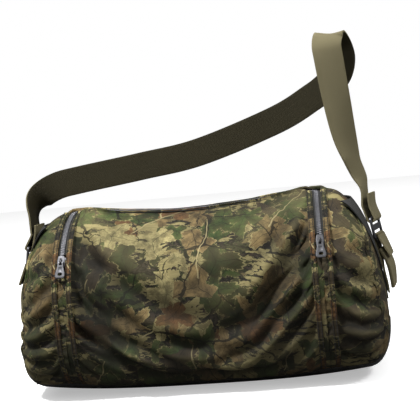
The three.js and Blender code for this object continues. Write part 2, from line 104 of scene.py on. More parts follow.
def outline(around, inset=0.0):
    """Y and Z of places round the barrel's section, and the outward normal's Y and Z there.

    around is the length from the crest: positive over the front, negative over the back.
    """
    far = np.abs(around)
    turn = far / RADIUS
    bend = np.clip((far - QUARTER - SIDE) / EDGE, 0, math.pi / 2)
    flat = np.maximum(far - QUARTER - SIDE - CORNER, 0)
    upper = far < QUARTER
    ny = np.where(upper, np.sin(turn), np.cos(bend))
    nz = np.where(upper, np.cos(turn), -np.sin(bend))
    y = np.where(upper, RADIUS * ny, SIDE + EDGE * ny - flat)
    drop = np.clip(far - QUARTER, 0, SIDE)
    z = np.where(upper, RADIUS + RADIUS * nz, RADIUS - drop + EDGE * nz)
    sign = np.where(around < 0, 1.0, -1.0)
    return sign * (y - inset * ny), z - inset * nz, sign * ny, nz


def seam_x(z):
    return HALF + FLARE * (1 - z / TOP)


def cap_x(z):
    """How far an end stands out at a height, on the bag's middle plane."""
    share = np.abs(z - RADIUS) / RADIUS
    return seam_x(z) + END_DEPTH * (1 - share**END_POWER) ** (1 / END_POWER)


def end_x(y, z):
    """How far the upper part of a rounded end stands out at a place across and up it."""
    low, high = np.zeros_like(z), np.ones_like(z)
    for _ in range(24):
        share = (low + high) / 2
        wide = np.hypot(y / share ** (2 / PLAN_POWER), (z - RADIUS) / share ** (2 / END_POWER)) > RADIUS
        low, high = np.where(wide, share, low), np.where(wide, high, share)
    return seam_x(z) + END_DEPTH * (1 - low**2) ** (1 / END_POWER)


def on_barrel(x, around, inset=0.0):
    y, z, _, _ = outline(around, inset)
    return np.stack([x, y, z], -1)


def on_end(side, turn, around, inset=0.0):
    """Places on a rounded end: turn runs from 0 at the barrel's seam to 90 degrees at the middle."""
    y, z, _, _ = outline(around, inset)
    share = np.cos(np.radians(turn))
    out = (END_DEPTH - inset) * np.sin(np.radians(turn)) ** (2 / END_POWER)
    height = RADIUS + (z - RADIUS) * share ** (2 / END_POWER)
    return np.stack([side * (seam_x(height) + out), y * share ** (2 / PLAN_POWER), height], -1)


def smooth_step(value, low, high):
    t = np.clip((value - low) / (high - low), 0, 1)
    return t * t * (3 - 2 * t)


def settle(places):
    """The bag's slack: its top sinks between the zips, and its base lifts a little towards the ends."""
    bag = bpy.context.scene.stick_bag
    p = np.array(places, float)
    x = np.clip(np.abs(p[..., 0]) / (ZIP_X - 6 * MM), 0, 1)
    p[..., 2] -= bag.sag * (1 - x**2) ** 2 * smooth_step(p[..., 2], 0.55 * TOP, TOP)
    low = 1 - smooth_step(p[..., 2], 0, 0.4 * TOP)
    p[..., 2] += bag.base_lift * (np.abs(p[..., 0]) / (HALF + FLARE)) ** 3 * low
    return p


# ------------------------------------------------------------------ folds and puckers

# Swags that hang across the front from zip to zip: the low point's x and z, the height at the left
# and right zip, all in millimetres, then the fold's width and depth.
SWAGS = [
    (10, 40, 150, 166, 8, 5.5),
    (-6, 66, 186, 190, 11, 6.5),
    (20, 96, 208, 206, 12, 4.0),
    (24, 24, 104, 128, 7, 4.5),
    (-20, 130, 214, 214, 14, 3.0),
]

# Creases on the front, each from (x, z) to (x, z) in millimetres, with its width and depth.
CREASES = [
    ((-148, 176), (-92, 96), 8, 5.0),
    ((-147, 140), (-76, 66), 8, 5.0),
    ((-146, 104), (-70, 44), 7, 4.0),
    ((-130, 206), (-100, 160), 7, 3.0),
    ((148, 186), (84, 112), 9, 5.5),
    ((147, 156), (64, 78), 9, 5.5),
    ((146, 122), (70, 52), 7, 5.0),
    ((132, 206), (96, 168), 8, 3.0),
    ((-100, 52), (30, 30), 6, 3.5),
    ((0, 34), (120, 46), 6, 3.5),
    ((-40, 84), (60, 62), 8, 3.0),
]

# Creases on each end's sleeve, likewise, with x measured outwards from the bag's middle.
SLEEVE_CREASES = [
    ((164, 190), (206, 150), 7, 3.5),
    ((164, 160), (216, 118), 8, 5.0),
    ((164, 128), (226, 92), 7, 5.0),
    ((164, 92), (230, 74), 6, 4.5),
    ((164, 62), (228, 56), 5, 4.0),
    ((166, 38), (222, 36), 4, 3.5),
]
SLEEVE_SHARE = 0.75  # of those depths

PUCKER_PITCH = 1.9 * MM  # a seam's puckers run in waves of this length for each radian
PUCKER_DEPTH = 0.40 * MM
MOST_PROUD = 4 * MM  # the furthest that cloth stands out from the barrel's form


def swag_depth(x, z):
    """How deep the swags run at places: deepest near the zips that they hang from."""
    depth = np.zeros_like(x)
    for middle, low, left, right, width, deep in SWAGS:
        end = np.where(x < middle * MM, -ZIP_X, ZIP_X)
        run = np.clip((x - middle * MM) / (end - middle * MM), 0, 1)
        rise = (np.where(x < middle * MM, left, right) - low) * MM
        height = low * MM + rise * run**2.0
        slope = 2.0 * rise * run / np.abs(end - middle * MM)
        off = (z - height) / np.sqrt(1 + slope**2)
        off += 2.5 * MM * np.sin(x / (17 * MM) + low)
        strength = 0.50 + 0.50 * smooth_step(run, 0.1, 0.7)
        valley = np.exp(-((off / (width * MM)) ** 2))
        swell = np.exp(-(((off - 2.0 * width * MM) / (1.3 * width * MM)) ** 2))
        depth += deep * MM * strength * (valley - 0.5 * swell)
    return depth


def crease_depth(x, z, creases):
    """How deep a list of creases runs at places: each fades at its ends and bows a little."""
    depth = np.zeros_like(x)
    for start, end, width, deep in creases:
        a = np.array(start) * MM
        line = np.array(end) * MM - a
        length = np.hypot(*line)
        line = line / length
        along = ((x - a[0]) * line[0] + (z - a[1]) * line[1]) / length
        off = (x - a[0]) * -line[1] + (z - a[1]) * line[0]
        off = off + 0.12 * length * np.sin(np.clip(along, 0, 1) * math.pi)
        fade = smooth_step(along, -0.12, 0.2) * (1 - smooth_step(along, 0.7, 1.15))
        ridge = np.exp(-((off / (width * MM)) ** 2))
        shoulder = np.exp(-(((off - 1.9 * width * MM) / (1.4 * width * MM)) ** 2))
        depth += deep * MM * fade * (ridge - 0.45 * shoulder)
    return depth


def wander(places, size, seed):
    """Smooth noise from -1 to 1 at each place, with features of the given size."""
    shift = Vector((seed * 7.3, seed * 3.1, seed * 5.7))
    return np.array([noise.noise(Vector(p) / size + shift) for p in places])


def fold_depth(places):
    """How far cloth lies in from the barrel's form at each place."""
    bag = bpy.context.scene.stick_bag
    x, y, z = places[:, 0], places[:, 1], places[:, 2]
    front = smooth_step(-y, 0.0, 0.3 * RADIUS)
    middle = 1 - smooth_step(np.abs(x), ZIP_X - 12 * MM, ZIP_X - 4 * MM)
    depth = (crease_depth(x, z, CREASES) + swag_depth(x, z)) * front * middle
    depth += crease_depth(-x, z, CREASES) * (1 - front) * smooth_step(y, 0, 0.3 * RADIUS) * middle
    sleeve = SLEEVE_SHARE * crease_depth(np.abs(x), z, SLEEVE_CREASES)
    depth += sleeve * (1 - middle) * smooth_step(np.abs(y), 20 * MM, 60 * MM)
    slack = wander(places, 62 * MM, 1) * 2.2 * MM + wander(places, 26 * MM, 2) * 0.8 * MM
    depth += slack * (1 - smooth_step(z, 0.86 * TOP, TOP) * 0.5) * smooth_step(z, 0, 80 * MM)
    seam = np.abs(np.abs(x) - ZIP_X)
    pucker = np.exp(-np.maximum(seam - 8 * MM, 0) / (9 * MM))
    arc = np.arctan2(z - RADIUS, -y) * RADIUS
    ripple = np.sin(arc / PUCKER_PITCH + 5.0 * wander(places, 23 * MM, 3))
    depth += PUCKER_DEPTH * pucker * ripple * bag.pucker
    return np.maximum(depth * bag.folds, -MOST_PROUD)


def quiet_near_zip(places):
    """1 on free cloth, falling to 0 beside the zips, where the cloth is held."""
    x = np.abs(places[:, 0])
    return smooth_step(np.abs(x - ZIP_X), 6 * MM, 18 * MM)


# ------------------------------------------------------------------ mesh helpers


def select_only(piece):
    bpy.ops.object.select_all(action="DESELECT")
    piece.select_set(True)
    bpy.context.view_layer.objects.active = piece


def apply_modifier(piece, kind, **settings):
    select_only(piece)
    modifier = piece.modifiers.new(kind.lower(), kind)
    for key, value in settings.items():
        setattr(modifier, key, value)
    bpy.ops.object.modifier_apply(modifier=modifier.name)


def bevel_sharp(piece, width, segments, angle=50):
    """Bevels only the edges sharper than an angle in degrees."""
    apply_modifier(
        piece, "BEVEL", width=width, segments=segments, limit_method="ANGLE",
        angle_limit=math.radians(angle))


def read_places(piece):
    places = np.empty(len(piece.data.vertices) * 3)
    piece.data.vertices.foreach_get("co", places)
    return places.reshape(-1, 3)


def write_places(piece, places):
    piece.data.vertices.foreach_set("co", np.ascontiguousarray(places).ravel())
    piece.data.update()


def normals_of(piece):
    normals = np.empty(len(piece.data.vertices) * 3)
    piece.data.vertices.foreach_get("normal", normals)
    return normals.reshape(-1, 3)


def write_pattern(piece, flat):
    """Gives a sheet its flat pattern as UV, from one pair for each vertex."""
    corners = np.empty(len(piece.data.loops), np.int32)
    piece.data.loops.foreach_get("vertex_index", corners)
    piece.data.uv_layers.active.uv.foreach_set("vector", flat[corners].astype(np.float32).ravel())


def grid_sheet(name, columns, rows, place, cloth_uv):
    """A sheet from a grid: place(u, v) gives its places and cloth_uv(u, v) its flat pattern.

    Both u and v run from 0 to 1.
    """
    bpy.ops.object.select_all(action="DESELECT")
    bpy.ops.mesh.primitive_grid_add(x_subdivisions=columns, y_subdivisions=rows, size=1, calc_uvs=True)
    piece = bpy.context.object
    piece.name = piece.data.name = name
    start = read_places(piece)
    u, v = start[:, 0] + 0.5, start[:, 1] + 0.5
    write_places(piece, place(u, v))
    piece.data.uv_layers.active.name = "cloth"
    write_pattern(piece, np.stack(cloth_uv(u, v), -1))
    return piece


def edit_all(piece, step, **settings):
    """Runs one edit-mode operator on the whole of a piece."""
    select_only(piece)
    bpy.ops.object.mode_set(mode="EDIT")
    bpy.ops.mesh.select_all(action="SELECT")
    step(**settings)
    bpy.ops.object.mode_set(mode="OBJECT")


def turn_out(piece):
    """Makes an open sheet's faces point away from the middle of the bag."""
    piece.data.update()
    facing = sum((f.center - BAG_MIDDLE).dot(f.normal) * f.area for f in piece.data.polygons)
    if facing < 0:
        edit_all(piece, bpy.ops.mesh.flip_normals)


CREASE_SHADE_DEPTH = 6 * MM  # the depth at which the painted shade in a crease is at its darkest


def fold_cloth(piece, share=None):
    """Pushes a sheet in along its normals by its folds, then lets it settle."""
    places = read_places(piece)
    depth = fold_depth(places)
    if share is not None:
        depth = depth * share(places)
    write_places(piece, settle(places - normals_of(piece) * depth[:, None]))
    # Keeps each place's crease depth, from which the cloth's finish paints shade in creases and a highlight
    # on ridges.
    creased = piece.data.attributes.new("crease", "FLOAT", "POINT")
    creased.data.foreach_set("value", np.clip(depth / CREASE_SHADE_DEPTH, -1, 1))


def thicken(piece, thickness, *materials):
    """Gives a sheet its thickness inwards; its inner side takes the last of its materials."""
    paint(piece, *materials)
    apply_modifier(
        piece, "SOLIDIFY", thickness=thickness, offset=-1.0, use_even_offset=False,
        material_offset=len(materials) - 1)


# How the lined cloth moves. It is cut a little too big for its seams, and the padding presses it out.
LINED_CLOTH = {
    "quality": 5, "mass": 0.25, "tension_stiffness": 12, "compression_stiffness": 12, "shear_stiffness": 4,
    "bending_stiffness": 0.15, "shrink_min": -0.035, "use_pressure": True, "uniform_pressure_force": 0.6,
}


def drape(piece, frames=10, limit=4 * MM):
    """Settles a sheet of lined cloth, held along its edges, and keeps each place's move within a limit."""
    start = read_places(piece)
    select_only(piece)
    bpy.ops.object.mode_set(mode="EDIT")
    bpy.ops.mesh.select_mode(type="EDGE")
    bpy.ops.mesh.select_all(action="DESELECT")
    bpy.ops.mesh.select_non_manifold()
    bpy.ops.object.vertex_group_assign_new()
    bpy.ops.object.mode_set(mode="OBJECT")
    held = piece.vertex_groups[-1]
    modifier = piece.modifiers.new("cloth", "CLOTH")
    cloth = modifier.settings
    cloth.vertex_group_mass = held.name
    for key, value in LINED_CLOTH.items():
        setattr(cloth, key, value)
    cloth.effector_weights.gravity = 0.4
    modifier.point_cache.frame_start, modifier.point_cache.frame_end = 1, frames
    scene = bpy.context.scene
    scene.frame_start, scene.frame_end = 1, frames
    for frame_number in range(1, frames + 1):
        scene.frame_set(frame_number)
    bpy.ops.object.modifier_apply(modifier=modifier.name)
    scene.frame_set(1)
    piece.vertex_groups.clear()
    move = read_places(piece) - start
    far = np.linalg.norm(move, axis=1)[:, None]
    share = quiet_near_zip(start)[:, None] * np.minimum(1, limit / np.maximum(far, 1e-9))
    write_places(piece, start + move * share)


def smooth(piece, angle=40):
    select_only(piece)
    bpy.ops.object.shade_smooth_by_angle(angle=math.radians(angle))


def finish(piece, body, slot, *nodes, angle=60):
    """Smooths a piece and says which body it rides on and which CAD nodes it stands for; its slot is not
    used.
    """
    if angle is not None:
        smooth(piece, angle)
    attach(piece, body)
    if nodes:
        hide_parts(*nodes)


def box_piece(name, size, at=(0, 0, 0)):
    bpy.ops.object.select_all(action="DESELECT")
    bpy.ops.mesh.primitive_cube_add(size=1, location=at, scale=size)
    piece = bpy.context.object
    piece.name = piece.data.name = name
    bpy.ops.object.transform_apply(location=True, rotation=True, scale=True)
    return piece


def cut(piece, tool):
    apply_modifier(piece, "BOOLEAN", operation="DIFFERENCE", object=tool, solver="EXACT")
    bpy.data.objects.remove(tool)


def join(pieces, name):
    bpy.ops.object.select_all(action="DESELECT")
    for piece in pieces:
        piece.select_set(True)
    bpy.context.view_layer.objects.active = pieces[0]
    bpy.ops.object.join()
    pieces[0].name = pieces[0].data.name = name
    return pieces[0]


def wire(name, points, thickness, closed=False):
    """A round wire through points, as a mesh."""
    curve = bpy.data.curves.new(name, "CURVE")
    curve.dimensions = "3D"
    curve.bevel_depth = thickness / 2
    curve.bevel_resolution = 3
    curve.use_fill_caps = True
    spline = curve.splines.new("POLY")
    spline.points.add(len(points) - 1)
    for point, place in zip(spline.points, points):
        point.co = (*place, 1)
    spline.use_cyclic_u = closed
    piece = bpy.data.objects.new(name, curve)
    bpy.context.scene.collection.objects.link(piece)
    select_only(piece)
    bpy.ops.object.convert(target="MESH")
    return bpy.context.object


def scatter(name, pattern, frames):
    """One mesh of copies of a small piece, one at each 4 by 4 frame; the small piece is used up."""
    base = read_places(pattern)
    faces = [list(f.vertices) for f in pattern.data.polygons]
    places = [base @ np.array(m)[:3, :3].T + np.array(m)[:3, 3] for m in frames]
    count = len(base)
    every = [[i + k * count for i in face] for k in range(len(frames)) for face in faces]
    mesh = bpy.data.meshes.new(name)
    mesh.from_pydata(np.concatenate(places).tolist(), [], every)
    piece = bpy.data.objects.new(name, mesh)
    bpy.context.scene.collection.objects.link(piece)
    bpy.data.objects.remove(pattern)
    return piece


def paint(piece, *materials):
    piece.data.materials.clear()
    for material in materials:
        piece.data.materials.append(material)


def lengths_along(line):
    """How far along a line each of its points is."""
    return np.concatenate([[0], np.cumsum(np.linalg.norm(np.diff(line, axis=0), axis=1))])


def evenly(line, steps, length):
    """A line's columns again at even steps along it."""
    even = np.linspace(0, length[-1], steps + 1)
    return np.stack([np.interp(even, length, column) for column in line.T], -1)


def unit(rows):
    return rows / np.linalg.norm(rows, axis=1)[:, None]


def frame_at(x, y, z, place):
    """A 4 by 4 frame from three axes and a place."""
    return Matrix(np.vstack([np.stack([x, y, z, place], 1), [0, 0, 0, 1]]).tolist())


def follow(points, steps):
    """A smooth line of the given number of steps through points, evenly spread along it."""
    points = np.array(points, float)
    padded = np.vstack([2 * points[0] - points[1], points, 2 * points[-1] - points[-2]])
    t = np.linspace(0, 1, 12, endpoint=False)[:, None]
    line = []
    for a, b, c, d in zip(padded, padded[1:], padded[2:], padded[3:]):
        line.append(b + 0.5 * t * (c - a + t * (2 * a - 5 * b + 4 * c - d + t * (3 * (b - c) + d - a))))
    line = np.vstack([*line, points[-1:]])
    return evenly(line, steps, lengths_along(line[:, :3]))


def ribbon(name, places, across, width, thickness, columns, *materials):
    """Flat webbing along places, across its width in the given directions, with rounded edges.

    Its second side takes the last of its materials.
    """
    steps = len(places) - 1
    along = unit(np.gradient(places, axis=0))
    across = unit(across - along * (across * along).sum(1)[:, None])
    length = lengths_along(places)

    def place(u, v):
        k = np.rint(v * steps).astype(int)
        return places[k] + across[k] * ((u - 0.5) * (width - thickness))[:, None]

    def cloth_uv(u, v):
        return (u - 0.5) * width, length[np.rint(v * steps).astype(int)]

    piece = grid_sheet(name, columns, steps, place, cloth_uv)
    paint(piece, *materials)
    apply_modifier(
        piece, "SOLIDIFY", thickness=thickness, offset=0.0, use_even_offset=False,
        material_offset=len(materials) - 1)
    bevel_sharp(piece, 0.42 * thickness, 2, 60)
    smooth(piece, 50)
    return piece


# ------------------------------------------------------------------ shader helpers


def link(tree, value, socket):
    if isinstance(value, bpy.types.NodeSocket):
        tree.links.new(value, socket)
    elif value is not None:
        socket.default_value = value


def maths(tree, operation, a, b=None, c=None, clamp=False):
    node = tree.nodes.new("ShaderNodeMath")
    node.operation = operation
    node.use_clamp = clamp
    for value, socket in zip((a, b, c), node.inputs):
        link(tree, value, socket)
    return node.outputs[0]


def times(tree, *values, **options):
    return maths(tree, "MULTIPLY", *values, **options)


def times_add(tree, *values, **options):
    """The first value times the second, plus the third."""
    return maths(tree, "MULTIPLY_ADD", *values, **options)


def vector_maths(tree, operation, a, b=None):
    node = tree.nodes.new("ShaderNodeVectorMath")
    node.operation = operation
    for value, socket in zip((a, b), node.inputs):
        link(tree, value, socket)
    return node.outputs["Value" if operation in ("LENGTH", "DOT_PRODUCT") else "Vector"]


def blend_colour(tree, factor, a, b, mode="MIX"):
    node = tree.nodes.new("ShaderNodeMix")
    node.data_type = "RGBA"
    node.blend_type = mode
    link(tree, factor, node.inputs["Factor"])
    link(tree, a, node.inputs[6])
    link(tree, b, node.inputs[7])
    return node.outputs[2]


def lay_over(tree, mask, share, under, over, mode="MIX"):
    """One colour laid over another by a share of a mask."""
    return blend_colour(tree, times(tree, mask, share), under, over, mode)


def split_axes(tree, vector):
    node = tree.nodes.new("ShaderNodeSeparateXYZ")
    link(tree, vector, node.inputs[0])
    return node.outputs


def noise_texture(tree, vector, scale, detail=3.0, roughness=0.55, distortion=0.0):
    node = tree.nodes.new("ShaderNodeTexNoise")
    link(tree, vector, node.inputs["Vector"])
    link(tree, scale, node.inputs["Scale"])
    node.inputs["Detail"].default_value = detail
    node.inputs["Roughness"].default_value = roughness
    node.inputs["Distortion"].default_value = distortion
    return node


def ramp(tree, value, stops, smooth_stops=False):
    node = tree.nodes.new("ShaderNodeValToRGB")
    node.color_ramp.interpolation = "LINEAR" if smooth_stops else "CONSTANT"
    link(tree, value, node.inputs["Fac"])
    elements = node.color_ramp.elements
    while len(elements) < len(stops):
        elements.new(1.0)
    for element, (place, colour) in zip(elements, stops):
        element.position = place
        element.color = (*colour[:3], 1)
    return node.outputs["Color"]


def shift(tree, vector, offset=(0, 0, 0), turn=0.0, scale=(1, 1, 1)):
    node = tree.nodes.new("ShaderNodeMapping")
    link(tree, vector, node.inputs["Vector"])
    node.inputs["Location"].default_value = offset
    node.inputs["Rotation"].default_value = (0, 0, turn)
    node.inputs["Scale"].default_value = scale
    return node.outputs[0]


def new_group(name, inputs, outputs):
    group = bpy.data.node_groups.new(name, "ShaderNodeTree")
    for socket_name, kind, default in inputs:
        socket = group.interface.new_socket(socket_name, in_out="INPUT", socket_type=kind)
        if default is not None:
            socket.default_value = default
    for socket_name, kind in outputs:
        group.interface.new_socket(socket_name, in_out="OUTPUT", socket_type=kind)
    return group, group.nodes.new("NodeGroupInput").outputs, group.nodes.new("NodeGroupOutput").inputs


def use_group(tree, name, **values):
    node = tree.nodes.new("ShaderNodeGroup")
    node.node_tree = bpy.data.node_groups[name]
    for key, value in values.items():
        link(tree, value, node.inputs[key.replace("_", " ")])
    return node.outputs


def times_colour(colour, factor):
    return (*(c * factor for c in colour[:3]), 1.0)


def new_material(name):
    material = bpy.data.materials.new(name)
    material.use_nodes = True
    return material, material.node_tree, material.node_tree.nodes["Principled BSDF"]


def coordinates(tree, output="UV"):
    return tree.nodes.new("ShaderNodeTexCoord").outputs[output]


def add_bump(tree, shader, height, distance, strength=1.0):
    node = tree.nodes.new("ShaderNodeBump")
    node.inputs["Strength"].default_value = strength
    node.inputs["Distance"].default_value = distance
    link(tree, height, node.inputs["Height"])
    tree.links.new(node.outputs["Normal"], shader.inputs["Normal"])


# ------------------------------------------------------------------ shared effects


def weave_group():
    """A twill's fine diagonal ribs and cross threads, as a height and a shade."""
    group, given, made = new_group(
        "fine weave",
        [("Vector", "NodeSocketVector", None), ("Pitch", "NodeSocketFloat", 1 * MM)],
        [("Height", "NodeSocketFloat"), ("Shade", "NodeSocketFloat")])
    cells = vector_maths(group, "DIVIDE", given["Vector"], None)
    pitch = group.nodes.new("ShaderNodeCombineXYZ")
    for axis in "XYZ":
        link(group, given["Pitch"], pitch.inputs[axis])
    link(group, pitch.outputs[0], cells.node.inputs[1])
    x, y, _ = split_axes(group, cells)
    diagonal = maths(group, "SINE", times(group, maths(group, "ADD", x, y), 2 * math.pi))
    thread = maths(group, "SINE", times(group, maths(group, "SUBTRACT", x, y), 4 * math.pi))
    height = times_add(group, diagonal, 0.35, times_add(group, thread, 0.15, 0.5))
    patchy = noise_texture(group, cells, 0.35, 2.0).outputs["Fac"]
    link(group, height, made["Height"])
    link(group, times(group, height, patchy), made["Shade"])
    return group


def leaf_group():
    """Scattered lobed leaves: a mask, their veins, and a random number for each leaf."""
    group, given, made = new_group(
        "scattered leaves",
        [("Vector", "NodeSocketVector", None), ("Scale", "NodeSocketFloat", 20.0),
         ("Size", "NodeSocketFloat", 0.5), ("Lobes", "NodeSocketFloat", 2.5),
         ("Share", "NodeSocketFloat", 0.6)],
        [("Mask", "NodeSocketFloat"), ("Vein", "NodeSocketFloat"), ("Random", "NodeSocketFloat"),
         ("Light", "NodeSocketFloat")])
    wobble = noise_texture(group, given["Vector"], times(group, given["Scale"], 2.6), 2.0)
    soft = vector_maths(group, "SUBTRACT", wobble.outputs["Color"], (0.5, 0.5, 0.5))
    scaled = vector_maths(group, "SCALE", given["Vector"])
    link(group, given["Scale"], scaled.node.inputs["Scale"])
    bent = vector_maths(group, "SCALE", soft)
    bent.node.inputs["Scale"].default_value = 0.22
    place = vector_maths(group, "ADD", scaled, bent)
    cells = group.nodes.new("ShaderNodeTexVoronoi")
    cells.voronoi_dimensions = "2D"
    cells.inputs["Scale"].default_value = 1.0
    cells.inputs["Randomness"].default_value = 0.85
    link(group, place, cells.inputs["Vector"])
    local = vector_maths(group, "SUBTRACT", place, cells.outputs["Position"])
    chance = group.nodes.new("ShaderNodeSeparateColor")
    link(group, cells.outputs["Color"], chance.inputs[0])
    turned = group.nodes.new("ShaderNodeVectorRotate")
    turned.rotation_type = "Z_AXIS"
    link(group, local, turned.inputs["Vector"])
    link(group, times(group, chance.outputs[0], 2 * math.pi), turned.inputs["Angle"])
    x, y, _ = split_axes(group, turned.outputs[0])
    angle = maths(group, "ARCTAN2", y, x)
    distance = vector_maths(group, "LENGTH", turned.outputs[0])
    lobed = times(group, angle, given["Lobes"])
    tip = maths(group, "POWER", maths(group, "ABSOLUTE", maths(group, "COSINE", lobed)), 1.6)
    teeth = maths(group, "PINGPONG", times(group, angle, 6.0), 0.5)
    edge = times_add(group, tip, 0.62, times_add(group, teeth, 0.22, 0.26))
    long_tip = times_add(group, maths(group, "COSINE", angle), 0.18, 0.86)
    reach = times(group, times(group, edge, long_tip), given["Size"])
    inside = maths(group, "LESS_THAN", distance, reach)
    kept = maths(group, "LESS_THAN", chance.outputs[1], given["Share"])
    mask = times(group, inside, kept)
    off_vein = times(group, maths(group, "ABSOLUTE", maths(group, "SINE", lobed)), distance)
    vein = maths(group, "LESS_THAN", off_vein, 0.015)
    side = maths(group, "PINGPONG", times_add(group, off_vein, 1.0, times(group, distance, 0.9)), 0.09)
    side_vein = maths(group, "LESS_THAN", side, 0.010)
    veins = times(group, maths(group, "MAXIMUM", vein, times(group, side_vein, 0.5)), mask)
    light = maths(group, "DIVIDE", distance, maths(group, "MAXIMUM", reach, 0.01))
    for value, name in ((mask, "Mask"), (veins, "Vein"), (chance.outputs[2], "Random"), (light, "Light")):
        link(group, value, made[name])
    return group


def twig_group():
    """Thin crooked twigs as a mask."""
    group, given, made = new_group(
        "thin twigs",
        [("Vector", "NodeSocketVector", None), ("Scale", "NodeSocketFloat", 14.0),
         ("Thickness", "NodeSocketFloat", 0.03)],
        [("Mask", "NodeSocketFloat")])
    wobble = noise_texture(group, given["Vector"], times(group, given["Scale"], 1.2), 3.0, 0.6)
    soft = vector_maths(group, "SUBTRACT", wobble.outputs["Color"], (0.5, 0.5, 0.5))
    bent = vector_maths(group, "SCALE", soft)
    bent.node.inputs["Scale"].default_value = 0.03
    stretched = shift(
        group, vector_maths(group, "ADD", given["Vector"], bent), turn=0.5, scale=(0.45, 1.0, 1.0))
    cells = group.nodes.new("ShaderNodeTexVoronoi")
    cells.voronoi_dimensions = "2D"
    cells.feature = "DISTANCE_TO_EDGE"
    link(group, stretched, cells.inputs["Vector"])
    link(group, given["Scale"], cells.inputs["Scale"])
    line = maths(group, "LESS_THAN", cells.outputs["Distance"], given["Thickness"])
    patches = noise_texture(group, given["Vector"], times(group, given["Scale"], 0.7), 2.0)
    kept = maths(group, "GREATER_THAN", patches.outputs["Fac"], 0.52)
    link(group, times(group, line, kept), made["Mask"])
    return group


def wear_group():
    """Rubbed and grimy patches at two sizes, from 0 to 1."""
    group, given, made = new_group(
        "rubbed patches",
        [("Vector", "NodeSocketVector", None), ("Scale", "NodeSocketFloat", 40.0)],
        [("Patch", "NodeSocketFloat"), ("Grain", "NodeSocketFloat")])
    broad = noise_texture(group, given["Vector"], given["Scale"], 4.0, 0.6).outputs["Fac"]
    fine = noise_texture(group, given["Vector"], times(group, given["Scale"], 14.0), 3.0).outputs["Fac"]
    link(group, broad, made["Patch"])
    link(group, fine, made["Grain"])
    return group


# ------------------------------------------------------------------ finishes


